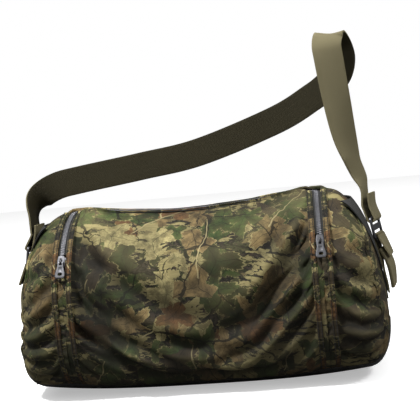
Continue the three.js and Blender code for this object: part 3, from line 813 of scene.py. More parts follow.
def camouflage(name, colours, offset=(0.0, 0.0, 0.0)):
    """Cotton twill printed with leaf litter: dark ground, ragged straw, leaves and twigs."""
    material, tree, shader = new_material(name)
    cloth = shift(tree, coordinates(tree), offset=offset)
    drawn_out = shift(tree, cloth, turn=0.6, scale=(1.0, 2.1, 1.0))
    ground_noise = noise_texture(tree, drawn_out, 30.0, 7.0, 0.70, 0.5)
    ground = ramp(tree, ground_noise.outputs["Fac"], [
        (0.0, colours.shadow), (0.40, colours.bark), (0.47, colours.shadow), (0.53, colours.moss),
        (0.565, colours.bark), (0.60, colours.straw_dark), (0.66, colours.shadow)])
    drawn_out = shift(tree, cloth, (0.3, 0.1, 0), -0.35, (1.0, 2.2, 1.0))
    straw_noise = noise_texture(tree, drawn_out, 14.0, 9.0, 0.74, 0.9)
    straw_mask = maths(tree, "GREATER_THAN", straw_noise.outputs["Fac"], 0.545)
    streaks = noise_texture(tree, shift(tree, cloth, (0, 0, 0), 0.9, (1.0, 9.0, 1.0)), 60.0, 3.0, 0.6)
    straw = blend_colour(tree, streaks.outputs["Fac"], colours.straw, colours.straw_dark)
    colour = blend_colour(tree, straw_mask, ground, straw)
    # Each layer of leaves: where it starts, its turn and scale, and the leaves' size, lobes and share.
    layers = [
        ((0.510, 0.270, 0), 2.7, 46.0, 1.00, 1.5, 0.45),
        ((0.013, 0.021, 0), 0.0, 27.0, 1.00, 2.5, 0.46),
        ((0.240, 0.110, 0), 0.8, 23.0, 1.05, 1.5, 0.36),
        ((0.110, 0.320, 0), 1.9, 20.0, 0.95, 2.5, 0.24),
    ]
    for place, turn, scale, size, lobes, share in layers:
        leaf = use_group(
            tree, "scattered leaves", Vector=shift(tree, cloth, place, turn),
            Scale=scale, Size=size, Lobes=lobes, Share=share)
        tint = ramp(tree, leaf["Random"], [
            (0.0, colours.leaf_green), (0.24, colours.leaf_tan), (0.42, colours.bark),
            (0.58, colours.leaf_rust), (0.66, colours.straw), (0.78, colours.leaf_green_dark)])
        mottle = noise_texture(tree, cloth, 85.0, 5.0, 0.65).outputs["Fac"]
        blotch = times_add(tree, mottle, 5.0, -1.9, clamp=True)
        tint = lay_over(tree, blotch, 0.62, tint, colours.shadow)
        tint = lay_over(tree, leaf["Light"], 0.16, tint, colours.leaf_tan)
        tint = lay_over(tree, leaf["Vein"], 0.7, tint, colours.shadow)
        rim = maths(tree, "GREATER_THAN", leaf["Light"], 0.92)
        tint = lay_over(tree, rim, 0.55, tint, colours.straw)
        colour = blend_colour(tree, leaf["Mask"], colour, tint)
    for place, turn, scale, thick, twig_colour in (
            ((0.05, 0.02, 0), 0.3, 19.0, 0.022, colours.shadow),
            ((0.33, 0.12, 0), 1.3, 26.0, 0.018, colours.shadow),
            ((0.21, 0.33, 0), -1.0, 13.0, 0.008, colours.twig)):
        twigs = use_group(
            tree, "thin twigs", Vector=shift(tree, cloth, place, turn),
            Scale=scale, Thickness=thick)
        colour = lay_over(tree, twigs["Mask"], 0.85, colour, twig_colour)
    wear = use_group(tree, "rubbed patches", Vector=cloth, Scale=11.0)
    shade = times_add(tree, wear["Patch"], 2.6, -0.75, clamp=True)
    colour = lay_over(tree, shade, 0.72, colour, colours.shadow)
    # Painted shade: the cloth is darkened towards the bottom, standing in for the shade under the lit top.
    height = split_axes(tree, coordinates(tree, "Object"))["Z"]
    low = times_add(tree, height, -1 / (0.75 * TOP), 1.0, clamp=True)
    colour = lay_over(tree, low, 0.70, colour, colours.shadow)
    # Painted shade in the creases, from each place's crease depth.
    crease = tree.nodes.new("ShaderNodeAttribute")
    crease.attribute_name = "crease"
    crease = crease.outputs["Fac"]
    crease_shade = times_add(tree, crease, 0.95, -0.04, clamp=True)
    colour = lay_over(tree, crease_shade, 0.80, colour, colours.shadow)
    # A painted highlight on the ridges between the creases.
    proud = times_add(tree, crease, -0.9, -0.05, clamp=True)
    colour = lay_over(tree, proud, 0.17, colour, colours.straw)
    weave = use_group(tree, "fine weave", Vector=cloth, Pitch=0.9 * MM)
    colour = lay_over(tree, weave["Shade"], 0.25, colour, colours.straw, "SOFT_LIGHT")
    link(tree, colour, shader.inputs["Base Color"])
    link(tree, times_add(tree, wear["Grain"], 0.18, 0.62), shader.inputs["Roughness"])
    shader.inputs["Specular IOR Level"].default_value = 0.16
    bump = times_add(tree, weave["Height"], 0.5, wear["Grain"])
    add_bump(tree, shader, bump, 0.0004, 0.6)
    return material


def webbing(name, colour, edge_colour, pitch=1.6 * MM):
    """Heavy webbing: close ribs across it in a shallow zigzag, rubbed in patches."""
    material, tree, shader = new_material(name)
    cloth = coordinates(tree)
    x, y, _ = split_axes(tree, cloth)
    zigzag = maths(tree, "PINGPONG", x, 4.5 * MM)
    rib_place = maths(tree, "DIVIDE", times_add(tree, zigzag, 0.8, y), pitch)
    rib = maths(tree, "SINE", times(tree, rib_place, 2 * math.pi))
    warp = maths(tree, "SINE", times(tree, x, 2 * math.pi / (1.1 * MM)))
    height = times_add(tree, rib, 0.4, times_add(tree, warp, 0.25, 0.5))
    wear = use_group(tree, "rubbed patches", Vector=cloth, Scale=30.0)
    shade = blend_colour(tree, times(tree, height, 0.35, clamp=True), colour, edge_colour)
    shade = lay_over(tree, wear["Patch"], 0.35, shade, edge_colour)
    link(tree, shade, shader.inputs["Base Color"])
    link(tree, times_add(tree, wear["Grain"], 0.2, 0.7), shader.inputs["Roughness"])
    shader.inputs["Specular IOR Level"].default_value = 0.2
    add_bump(tree, shader, height, 0.0005, 0.8)
    return material


def plain_cloth(name, colour, coordinate="UV", pitch=1.2 * MM, shine=0.75):
    """Plain woven cloth or tape in one dye lot, with faint lint."""
    material, tree, shader = new_material(name)
    cloth = coordinates(tree, coordinate)
    weave = use_group(tree, "fine weave", Vector=cloth, Pitch=pitch)
    wear = use_group(tree, "rubbed patches", Vector=cloth, Scale=35.0)
    pale = (*(min(1.0, c * 2.4 + 0.01) for c in colour[:3]), 1.0)
    shade = lay_over(tree, weave["Shade"], 0.7, colour, pale)
    shade = lay_over(tree, wear["Patch"], 0.3, shade, pale)
    link(tree, shade, shader.inputs["Base Color"])
    link(tree, times_add(tree, wear["Grain"], 0.2, shine - 0.1), shader.inputs["Roughness"])
    add_bump(tree, shader, weave["Height"], 0.0003, 0.7)
    return material


def metal(name, colour, roughness=0.42):
    """Dull plated metal with cloudy plating, fine scratches and grime."""
    material, tree, shader = new_material(name)
    place = coordinates(tree, "Object")
    wear = use_group(tree, "rubbed patches", Vector=place, Scale=160.0)
    rubbed = shift(tree, place, turn=0.4, scale=(40.0, 40.0, 3.0))
    scratches = noise_texture(tree, rubbed, 60.0, 2.0).outputs["Fac"]
    dark = times_colour(colour, 0.45)
    shade = lay_over(tree, wear["Patch"], 0.8, colour, dark)
    link(tree, shade, shader.inputs["Base Color"])
    shader.inputs["Metallic"].default_value = 1.0
    rough = times_add(tree, wear["Patch"], 0.25, roughness - 0.1)
    link(tree, times_add(tree, scratches, 0.12, rough), shader.inputs["Roughness"])
    add_bump(tree, shader, scratches, 0.0001, 0.3)
    return material


# ------------------------------------------------------------------ sizes and colours


class BagShape(bpy.types.PropertyGroup):
    sag: FloatProperty(
        name="Top Sag", description="How far the top sinks between the zips", default=8 * MM, unit="LENGTH")
    base_lift: FloatProperty(
        name="Base Lift", description="How far the base lifts towards the ends", default=9 * MM,
        unit="LENGTH")
    folds: FloatProperty(name="Folds", description="Depth of the cloth's folds, 1 as sewn", default=1.55)
    pucker: FloatProperty(name="Puckers", description="Depth of the puckers beside the seams", default=1.0)
    cloth_thick: FloatProperty(
        name="Cloth Thickness", description="Of the lined shell", default=2.2 * MM, unit="LENGTH")
    stitch_length: FloatProperty(
        name="Stitch Length", description="From one stitch to the next", default=3.4 * MM, unit="LENGTH")
    tooth_pitch: FloatProperty(
        name="Tooth Pitch", description="Between teeth on one tape", default=2.5 * MM, unit="LENGTH")
    end_yaw: FloatProperty(
        name="End Yaw", description="Degrees that the strap turns the right end's webbing", default=16.0)
    strap_steps: IntProperty(
        name="Strap Steps", description="Lengths that the strap is divided into", default=260)


def colour_property(name, description, value):
    return FloatVectorProperty(
        name=name, description=description, default=(*value, 1.0), size=4, subtype="COLOR", min=0, max=1)


class BagColours(bpy.types.PropertyGroup):
    shadow: colour_property("Shadow", "Darkest print", (0.012, 0.011, 0.008))
    bark: colour_property("Bark", "Grey-brown print", (0.052, 0.040, 0.028))
    moss: colour_property("Moss", "Olive print", (0.060, 0.066, 0.026))
    straw: colour_property("Straw", "Pale print", (0.47, 0.41, 0.19))
    straw_dark: colour_property("Dry Grass", "Duller pale print", (0.20, 0.16, 0.070))
    leaf_green: colour_property("Green Leaf", "Fresh leaves", (0.055, 0.100, 0.026))
    leaf_green_dark: colour_property("Dark Leaf", "Shaded leaves", (0.026, 0.046, 0.016))
    leaf_tan: colour_property("Tan Leaf", "Dry leaves", (0.34, 0.24, 0.105))
    leaf_rust: colour_property("Rust Leaf", "Turned leaves", (0.22, 0.105, 0.040))
    twig: colour_property("Twig", "Pale twigs", (0.50, 0.42, 0.22))
    strap: colour_property("Webbing", "Olive webbing", (0.200, 0.175, 0.098))
    # Painted shade: the strap's inner face is its olive webbing darkened for the shade it lies in.
    strap_inner_shade: colour_property("Webbing Inside", "The strap's inner face", (0.040, 0.034, 0.016))
    strap_edge: colour_property("Webbing Shade", "Between the ribs", (0.115, 0.100, 0.054))
    black: colour_property("Black Cloth", "Base, tape and bands", (0.010, 0.010, 0.009))
    lining: colour_property("Lining", "Inside of the bag", (0.012, 0.012, 0.010))
    nickel: colour_property("Metal", "Zips and buckles", (0.105, 0.105, 0.112))
    floor: colour_property("Floor", "Studio floor", (0.90, 0.90, 0.90))


def make_finishes():
    """Builds the shared effects and every material once."""
    if "camouflage cloth" in bpy.data.materials:
        return
    weave_group()
    leaf_group()
    twig_group()
    wear_group()
    colours = bpy.context.scene.stick_bag_colours
    camouflage("camouflage cloth", colours)
    camouflage("camouflage cloth ends", colours, (0.31, 0.17, 0.0))
    camouflage("camouflage cloth strips", colours, (0.12, 0.44, 0.0))
    webbing("olive webbing", tuple(colours.strap), tuple(colours.strap_edge))
    # The same webbing darkened, as painted shade on the strap's inner face.
    inner = tuple(colours.strap_inner_shade)
    webbing("shaded webbing", inner, times_colour(inner, 0.4), 2.2 * MM)
    black = tuple(colours.black)
    plain_cloth("black base cloth", black, shine=0.6)
    plain_cloth("zip tape", black, pitch=0.9 * MM)
    plain_cloth("lining cloth", tuple(colours.lining), pitch=1.4 * MM)
    plain_cloth("stiffener board", tuple(colours.lining), coordinate="Object", pitch=4 * MM, shine=0.6)
    plain_cloth("thread", times_colour(black, 0.9), coordinate="Object", pitch=0.6 * MM)
    metal("dull nickel", tuple(colours.nickel))
    metal("rubbed nickel", times_colour(colours.nickel, 2.6), 0.5)
    metal("dull steel", times_colour(colours.nickel, 1.5), 0.4)


def material(name):
    make_finishes()
    return bpy.data.materials[name]


# ------------------------------------------------------------------ cloth shell

BAG_MIDDLE = Vector((0, 0, RADIUS))
BASE_ARC = arc_at_height(BASE_TOP - 1.5 * MM)  # where the cloth tucks behind the base's turn-up
SLOT = 5.7 * MM  # from the zip's middle to the cloth's edge, under the strips
SEAM = 0.15 * MM  # from the zip's middle to the cloth's edge below the zip
ZIP_ARC = arc_at(ZIP_TOP_ANGLE)
CAP_SLACK = 0.6  # of the folds, at the middle of the end caps, which the webbing holds flat
CAP_TUCK = 4.0  # degrees that a cap's edge runs on under its sleeve
CAP_MIDDLE = 89.9  # degrees, just short of the line where a cap's rows would meet


def bend_at_fold(piece):
    """Bakes the transform of a piece on the front into its mesh."""
    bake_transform(piece)


def slot_share(around):
    """1 where the zip parts the cloth, falling to 0 beyond its foot."""
    foot = arc_at(STOP_ANGLE)
    return 1 - smooth_step(around, foot, foot + 4 * MM)


def make_shell(piece, *nodes, outer="camouflage cloth", share=None, loose=True):
    turn_out(piece)
    fold_cloth(piece, share)
    if loose:
        drape(piece)
    thicken(piece, bpy.context.scene.stick_bag.cloth_thick, material(outer), material("lining cloth"))
    smooth(piece, 60)
    if "lid_panel" in nodes:
        bend_at_fold(piece)
    else:
        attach(piece, "bag")
    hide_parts(*nodes)


class STICKBAG_OT_front(bpy.types.Operator):
    """Add the front cloth and the lid, as one sheet"""
    bl_idname = "stickbag.front"
    bl_label = "Front and Lid"

    def execute(self, context):
        low, high = BASE_ARC, ZIP_ARC + SLOT

        def place(u, v):
            around = low + (high - low) * v
            half = ZIP_X - SEAM - (SLOT - SEAM) * slot_share(around)
            return on_barrel((2 * u - 1) * half, around)

        def cloth_uv(u, v):
            return (2 * u - 1) * ZIP_X, -(low + (high - low) * v)

        piece = grid_sheet("front_and_lid", 190, 170, place, cloth_uv)
        make_shell(piece, "front_panel", "lid_panel", share=quiet_near_zip)
        return {"FINISHED"}


class STICKBAG_OT_rear(bpy.types.Operator):
    """Add the rear cloth, from the lengthwise zip over the back to the base"""
    bl_idname = "stickbag.rear"
    bl_label = "Rear"

    def execute(self, context):
        low, high = ZIP_ARC - SLOT, -BASE_ARC

        def place(u, v):
            return on_barrel((2 * u - 1) * ZIP_X, low + (high - low) * v)

        def cloth_uv(u, v):
            return (2 * u - 1) * ZIP_X, -(low + (high - low) * v)

        make_shell(grid_sheet("rear_cloth", 150, 150, place, cloth_uv), "rear_panel")
        return {"FINISHED"}


def sleeve_places(side, g, around):
    """A sleeve from the zip (g = 0) along the barrel and round its shoulder to the cap's seam (g = 1)."""
    flat = 0.3  # share of g that lies on the barrel
    _, z, _, _ = outline(around)
    in_slot = smooth_step(around, ZIP_ARC - SLOT - 2 * MM, ZIP_ARC - SLOT) * slot_share(around)
    start = ZIP_X + SEAM + (SLOT - SEAM) * in_slot
    x = start + (seam_x(z) - start) * np.clip(g / flat, 0, 1)
    on_side = on_barrel(side * x, around)
    turn = CAP_TURN * np.clip((g - flat) / (1 - flat), 0, 1)
    return np.where((g < flat)[:, None], on_side, on_end(side, turn, around))


def cap_share(places):
    """A cap's share of the folds: all of them at its seam, fewer where the webbing holds it."""
    out = np.abs(places[:, 0]) - seam_x(places[:, 2])
    seam = CAP_SHARE * END_DEPTH
    return 1 - (1 - CAP_SLACK) * smooth_step(out, seam, seam + 6 * MM)


class STICKBAG_OT_ends(bpy.types.Operator):
    """Add each end's sleeve and its cap"""
    bl_idname = "stickbag.ends"
    bl_label = "Ends"

    def execute(self, context):
        thick = context.scene.stick_bag.cloth_thick
        for name, side in SIDES:
            def sleeve(u, v, side=side):
                return sleeve_places(side, u, BASE_ARC * (1 - 2 * v))

            def sleeve_uv(u, v, side=side):
                return side * (ZIP_X + 62 * MM * u), -BASE_ARC * (1 - 2 * v)

            make_shell(grid_sheet(f"{name}_sleeve_cloth", 48, 330, sleeve, sleeve_uv), f"{name}_sleeve")

            def cap(u, v, side=side):
                turn = CAP_TURN - CAP_TUCK + (CAP_MIDDLE - CAP_TURN + CAP_TUCK) * u
                whole = 2 * (QUARTER + SIDE + CORNER + SIDE)
                inset = (thick + 0.3 * MM) * (1 - smooth_step(turn, CAP_TURN - 0.5, CAP_TURN + 2.0))
                return on_end(side, turn, whole * (v - 0.5) * 0.999999, inset)

            piece = grid_sheet(f"{name}_cap_cloth", 26, 220, cap, lambda u, v: (u, v))
            write_pattern(piece, read_places(piece)[:, 1:])
            edit_all(piece, bpy.ops.mesh.remove_doubles, threshold=0.05 * MM)  # its two long edges meet
            make_shell(
                piece, f"{name}_end_cap", outer="camouflage cloth ends", share=cap_share, loose=False)
        return {"FINISHED"}


class STICKBAG_OT_base(bpy.types.Operator):
    """Add the black base, which stands in for the shade under the bag, and give the board inside it its
    finish
    """
    bl_idname = "stickbag.base"
    bl_label = "Base"

    def execute(self, context):
        low = arc_at_height(BASE_TOP)
        whole = QUARTER + SIDE + CORNER + SIDE
        proud = 0.5 * MM
        long = 0.62  # share of the base's columns that lie between the end seams
        last_turn = 62.0  # degrees that the base runs on round each end

        def place(u, v):
            around = low + (2 * (whole - low)) * v
            around = np.where(around > whole, around - 2 * whole, around)
            out = 2 * u - 1
            straight = on_barrel(np.clip(out, -long, long) / long * seam_x(0.0), around, -proud)
            turn = last_turn * np.clip((np.abs(out) - long) / (1 - long), 0, 1)
            end = on_end(np.sign(out), turn, around, -proud)
            return np.where((np.abs(out) > long)[:, None], end, straight)

        piece = grid_sheet("base_cloth", 120, 60, place, lambda u, v: (0.5 * (u - 0.5), 0.2 * v))
        turn_out(piece)
        write_places(piece, settle(read_places(piece)))
        # Painted shade: the base is black to stand for the shade under the bag.
        thicken(piece, 2 * MM, material("black base cloth"))
        finish(piece, "bag", "black_base", "base_panel")
        paint(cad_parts["base_board"], material("stiffener board"))
        return {"FINISHED"}


# ------------------------------------------------------------------ the zip

TURN_RADIUS = 8 * MM  # of the zip's corners, at the line where the rows meet


def zip_line(steps, low_angle=STOP_ANGLE):
    """The line where the rows meet, as (x, around), up the left leg, along the top and down the right."""
    low = arc_at(low_angle)
    r = TURN_RADIUS
    turn = np.radians(np.linspace(0, 90, 13))
    left = np.stack([-ZIP_X + r - r * np.cos(turn), ZIP_ARC + r - r * np.sin(turn)], -1)
    right = np.stack([ZIP_X - r + r * np.sin(turn), ZIP_ARC + r - r * np.cos(turn)], -1)
    line = np.vstack([[(-ZIP_X, low)], left, right, [(ZIP_X, low)]])
    length = lengths_along(line)
    places = evenly(line, steps, length)
    return places, unit(np.gradient(places, axis=0)), length[-1]


def beside_zip(places, along, off, inset):
    """Places a distance off the zip's line, positive on the body's side, and set in from the barrel."""
    x = places[:, 0] + along[:, 1] * off
    around = places[:, 1] - along[:, 0] * off
    return settle(on_barrel(x, around, inset))


TAPE_INSET = 1.9 * MM  # from the barrel's form in to the middle of the rows
TAPE_NEAR = 0.9 * MM  # from the line where the rows meet
TAPE_WIDE = 6.4 * MM


class STICKBAG_OT_tapes(bpy.types.Operator):
    """Add the zip's two tapes"""
    bl_idname = "stickbag.tapes"
    bl_label = "Zip Tapes"

    def execute(self, context):
        steps = 300
        tapes = (
            ("lid_tape", -1, FOLD_ANGLE + 0.4, "lid", "lid_zip_tape"),
            ("body_tape", 1, STOP_ANGLE - 0.6, "bag", "body_zip_tape"))
        for name, side, low, body, node in tapes:
            places, along, length = zip_line(steps, low)

            def place(u, v, side=side, places=places, along=along):
                k = np.rint(v * steps).astype(int)
                off = side * (TAPE_NEAR + TAPE_WIDE * u)
                return beside_zip(places[k], along[k], off, TAPE_INSET + 0.2 * MM)

            piece = grid_sheet(
                name, 6, steps, place, lambda u, v, length=length: (TAPE_WIDE * u, length * v))
            turn_out(piece)
            thicken(piece, 0.8 * MM, material("zip tape"))
            finish(piece, body, "zip_tape", node)
        return {"FINISHED"}


def one_tooth():
    """A zip tooth: a clamped foot, a narrow neck and a rounded head, pointing along -X."""
    tooth = box_piece("tooth", (2.9 * MM, 1.25 * MM, 2.6 * MM))
    edit_all(tooth, bpy.ops.mesh.subdivide, number_cuts=1)
    places = read_places(tooth)
    head = places[:, 0] < -0.4 * MM
    places[head, 1] *= 0.72
    places[head, 2] *= 0.78
    neck = np.abs(places[:, 0]) < 0.2 * MM
    places[neck, 2] *= 0.92
    write_places(tooth, places)
    bevel_sharp(tooth, 0.22 * MM, 1)
    return tooth


def tooth_frames(side, low_angle, high_angle=None, leg=0):
    """Where the teeth on one side sit, as 4 by 4 frames; a leg's sign keeps only that leg's stretch."""
    pitch = bpy.context.scene.stick_bag.tooth_pitch
    _, _, length = zip_line(10, STOP_ANGLE)
    count = int(length / pitch)
    places, along, _ = zip_line(2 * count, STOP_ANGLE)
    chosen = slice(0 if side < 0 else 1, None, 2)
    places, along = places[chosen], along[chosen]
    keep = places[:, 1] < arc_at(low_angle)
    if leg:
        keep = (np.sign(places[:, 0]) == leg) & (places[:, 1] > arc_at(high_angle)) & keep
    places, along = places[keep], along[keep]
    off = 1.05 * MM  # from the line where the rows meet to a tooth's middle
    middle = beside_zip(places, along, side * off, TAPE_INSET)
    outer = beside_zip(places, along, side * (off + 1 * MM), TAPE_INSET)
    above = beside_zip(places, along, side * off, TAPE_INSET - 1 * MM)
    frames = []
    for m, o, a in zip(middle, outer, above):
        x = (o - m) / np.linalg.norm(o - m)
        z = (a - m) / np.linalg.norm(a - m)
        frames.append(frame_at(x, np.cross(z, x), z, m))
    return frames


class STICKBAG_OT_teeth(bpy.types.Operator):
    """Add every zip tooth and the bottom stops"""
    bl_idname = "stickbag.teeth"
    bl_label = "Zip Teeth"

    def execute(self, context):
        rows = [
            ("lid_teeth_row", -1, FOLD_ANGLE + 0.6, None, 0, "lid", "lid_teeth"),
            ("body_teeth_row", 1, STOP_ANGLE + 1.4, None, 0, "bag", "body_teeth"),
            ("left_front_teeth", -1, STOP_ANGLE + 1.4, FOLD_ANGLE - 0.6, -1, "bag", "left_front_zip"),
            ("right_front_teeth", -1, STOP_ANGLE + 1.4, FOLD_ANGLE - 0.6, 1, "bag", "right_front_zip"),
        ]
        for name, side, low, high, leg, body, node in rows:
            piece = scatter(name, one_tooth(), tooth_frames(side, low, high, leg))
            paint(piece, material("rubbed nickel"))
            finish(piece, body, "zip_metal", node, angle=35)
        for name, side in SIDES:
            place = Vector(on_barrel(np.array(side * ZIP_X), np.array(arc_at(STOP_ANGLE)), 1.6 * MM))
            stop = box_piece(f"{name}_bottom_stop", (5.2 * MM, 2.4 * MM, 3.0 * MM))
            apply_modifier(stop, "BEVEL", width=0.6 * MM, segments=3)
            stop.data.transform(Matrix.Translation(place) @ up_leg(STOP_ANGLE))
            paint(stop, material("dull nickel"))
            finish(stop, "bag", "zip_metal", f"{name}_zip_stop", angle=40)
        return {"FINISHED"}


def outward(angle):
    """The way out from the barrel's axis at an angle above the front horizontal."""
    return Vector((0, -math.cos(math.radians(angle)), math.sin(math.radians(angle))))


def up_leg(angle):
    """Turns a piece drawn with X across, Y up the leg and Z outwards to lie on a leg at an angle."""
    x = Vector((1, 0, 0))
    z = outward(angle)
    y = z.cross(x)
    return Matrix((x, y, z)).transposed().to_4x4()


ROW_HALF = 1.7 * MM  # half the thickness of the rows
PLATE_CLEAR = 0.8 * MM  # from the rows up to a slider's upper plate
PLATE_THICK = 1.4 * MM
PLATE_TOP = RADIUS - TAPE_INSET + ROW_HALF + PLATE_CLEAR + PLATE_THICK  # from the barrel's axis
PIVOT_DOWN = 1.6 * MM  # from a slider's middle down to the puller's pivot
PIVOT_OUT = 1.1 * MM
PULL_ABOVE = 0.8 * MM  # how far a puller runs on above its pivot


class STICKBAG_OT_sliders(bpy.types.Operator):
    """Add the zip sliders with their bails"""
    bl_idname = "stickbag.sliders"
    bl_label = "Zip Sliders"

    def execute(self, context):
        for name, side in SIDES:
            plates = []
            for part, out in (("upper", -0.7 * MM), ("lower", -7.0 * MM)):
                plate = box_piece(f"{name}_{part}_plate", (9.4 * MM, 15.6 * MM, PLATE_THICK), (0, 0, out))
                edit_all(plate, bpy.ops.mesh.subdivide, number_cuts=5)
                places = read_places(plate)
                y = places[:, 1] / (7.8 * MM)  # -1 at the foot to 1 at the nose
                places[:, 0] *= 1 - 0.30 * np.clip(y, 0, 1) ** 2 - 0.10 * np.clip(-y, 0, 1) ** 3
                places[:, 2] -= 0.55 * MM * np.abs(y) ** 2
                write_places(plate, places)
                bevel_sharp(plate, 0.45 * MM, 3)
                plates.append(plate)
            post = box_piece(f"{name}_post", (1.0 * MM, 4.6 * MM, 5.6 * MM), (0, 0, -3.9 * MM))
            turns = np.radians(np.linspace(-20, 200, 15))
            arch = [(0, 3.5 * MM * math.cos(t), -0.4 * MM + 4.1 * MM * math.sin(t)) for t in turns]
            bail = wire(f"{name}_bail", arch, 1.5 * MM)
            piece = join([plates[0], plates[1], post, bail], f"{name}_zip_slider")
            at = Vector((side * ZIP_X, 0, RADIUS)) + PLATE_TOP * outward(PARK_ANGLE)
            piece.data.transform(Matrix.Translation(at) @ up_leg(PARK_ANGLE))
            paint(piece, material("dull nickel"))
            finish(piece, f"{name}_slider", "zip_metal", f"{name}_slider", angle=40)
        return {"FINISHED"}


class STICKBAG_OT_pullers(bpy.types.Operator):
    """Add the pullers, tapered plates with an eye at the top and a slot near the foot"""
    bl_idname = "stickbag.pullers"
    bl_label = "Pullers"

    def execute(self, context):
        length = 20.8 * MM
        for name, side in SIDES:
            plate = box_piece(
                f"{name}_pull", (12 * MM, length, 1.5 * MM), (0, -length / 2 + PULL_ABOVE, 0))
            edit_all(plate, bpy.ops.mesh.subdivide, number_cuts=7)
            places = read_places(plate)
            down = np.clip((PULL_ABOVE - places[:, 1]) / length, 0, 1)
            places[:, 0] *= 0.55 + 0.45 * smooth_step(down, 0.15, 0.85)
            places[:, 0] *= 1 - 0.22 * smooth_step(down, 0.86, 1.02)
            write_places(plate, places)
            eye = box_piece("eye", (3.4 * MM, 3.2 * MM, 4 * MM), (0, -2.5 * MM, 0))
            apply_modifier(eye, "BEVEL", width=0.8 * MM, segments=2)
            cut(plate, eye)
            slot = box_piece("slot", (5.2 * MM, 3.6 * MM, 4 * MM), (0, -15.4 * MM, 0))
            apply_modifier(slot, "BEVEL", width=1.2 * MM, segments=3)
            cut(plate, slot)
            for top in (-1, 1):
                panel = box_piece("panel", (4.4 * MM, 5.2 * MM, 1 * MM), (0, -9.2 * MM, top * 1.05 * MM))
                apply_modifier(panel, "BEVEL", width=0.3 * MM, segments=2)
                cut(plate, panel)
            bevel_sharp(plate, 0.32 * MM, 2, 55)
            up = up_leg(PARK_ANGLE) @ Vector((0, 1, 0))
            pivot = (PLATE_TOP + PIVOT_OUT) * outward(PARK_ANGLE) - PIVOT_DOWN * up
            at = Vector((side * ZIP_X, 0, RADIUS)) + pivot
            plate.data.transform(Matrix.Translation(at) @ up_leg(PARK_ANGLE))
            paint(plate, material("dull nickel"))
            finish(plate, f"{name}_puller", "zip_metal", f"{name}_puller", angle=35)
        return {"FINISHED"}


# ------------------------------------------------------------------ strips and stitching

STRIP_NEAR = 5.4 * MM  # from the zip's middle
STRIP_FAR = 12.0 * MM


def strip_ripple(around, x):
    drift = 2.1 * np.sin(around / (11 * MM) + 90 * x) + 1.3 * np.sin(around / (27 * MM))
    strength = 0.5 + 0.5 * np.sin(around / (17 * MM) + 40 * x) ** 2
    return 0.24 * MM * strength * np.sin(around / (1.15 * MM) + drift)


def stitch_frames(x, low, high, inset):
    """Frames for a row of stitches down the barrel at x, from one length round it to another."""
    step = bpy.context.scene.stick_bag.stitch_length
    around = np.arange(low + step / 2, high, step)
    xs = np.full_like(around, x)
    places = settle(on_barrel(xs, around, inset))
    ahead = settle(on_barrel(xs, around + 0.5 * MM, inset))
    frames = []
    for place, after in zip(places, ahead):
        y = (after - place) / np.linalg.norm(after - place)
        x_axis = np.array([1.0, 0, 0])
        frames.append(frame_at(x_axis, y, np.cross(x_axis, y), place))
    return frames


def one_stitch(length=2.9 * MM, thick=0.85 * MM):
    """A short plump stitch that dives at both ends."""
    bpy.ops.object.select_all(action="DESELECT")
    bpy.ops.mesh.primitive_cylinder_add(
        vertices=6, radius=thick / 2, depth=length, rotation=(math.pi / 2, 0, 0))
    bpy.ops.object.transform_apply(location=True, rotation=True, scale=True)
    stitch = bpy.context.object
    edit_all(stitch, bpy.ops.mesh.bevel, offset=0.35 * thick, segments=1, affect="EDGES")
    return stitch


class STICKBAG_OT_strips(bpy.types.Operator):
    """Add the stitched strips beside each zip, and their thread"""
    bl_idname = "stickbag.strips"
    bl_label = "Stitched Strips"

    def execute(self, context):
        top = arc_at(ZIP_TOP_ANGLE - 3)
        low = arc_at_height(BASE_TOP + 0.4 * MM)
        middle = (STRIP_NEAR + STRIP_FAR) / 2
        half = (STRIP_FAR - STRIP_NEAR) / 2
        for name, side in SIDES:
            for kind, sign in (("front", -1), ("sleeve", 1)):
                centre = side * (ZIP_X + sign * middle)

                def place(u, v, centre=centre):
                    x = centre + (2 * u - 1) * half
                    around = top + (low - top) * v
                    crown = 0.5 * MM * (2 * u - 1) ** 4
                    rise = 1.0 * MM - crown + strip_ripple(around, x) * (1 - 0.6 * (2 * u - 1) ** 2)
                    y, z, ny, nz = outline(around)
                    return np.stack([x, y + rise * ny, z + rise * nz], -1)

                piece = grid_sheet(
                    f"{name}_{kind}_strip", 8, 300, place,
                    lambda u, v: (2 * half * u, (low - top) * v))
                turn_out(piece)
                write_places(piece, settle(read_places(piece)))
                thicken(piece, 0.9 * MM, material("camouflage cloth strips"))
                smooth(piece, 60)
                rows = []
                for off in (-0.62, 0.62):
                    rows += stitch_frames(centre + off * half, top + 2 * MM, low - 1 * MM, -1.45 * MM)
                thread = scatter(f"{name}_{kind}_thread", one_stitch(), rows)
                paint(thread, material("thread"))
                smooth(thread, 60)
                for cloth in (piece, thread):
                    if kind == "front":
                        bend_at_fold(cloth)
                    else:
                        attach(cloth, "bag")
                if kind == "front":
                    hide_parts(f"{name}_front_placket", f"{name}_lid_placket")
                else:
                    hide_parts(f"{name}_sleeve_placket")
        return {"FINISHED"}


# ------------------------------------------------------------------ webbing and buckles

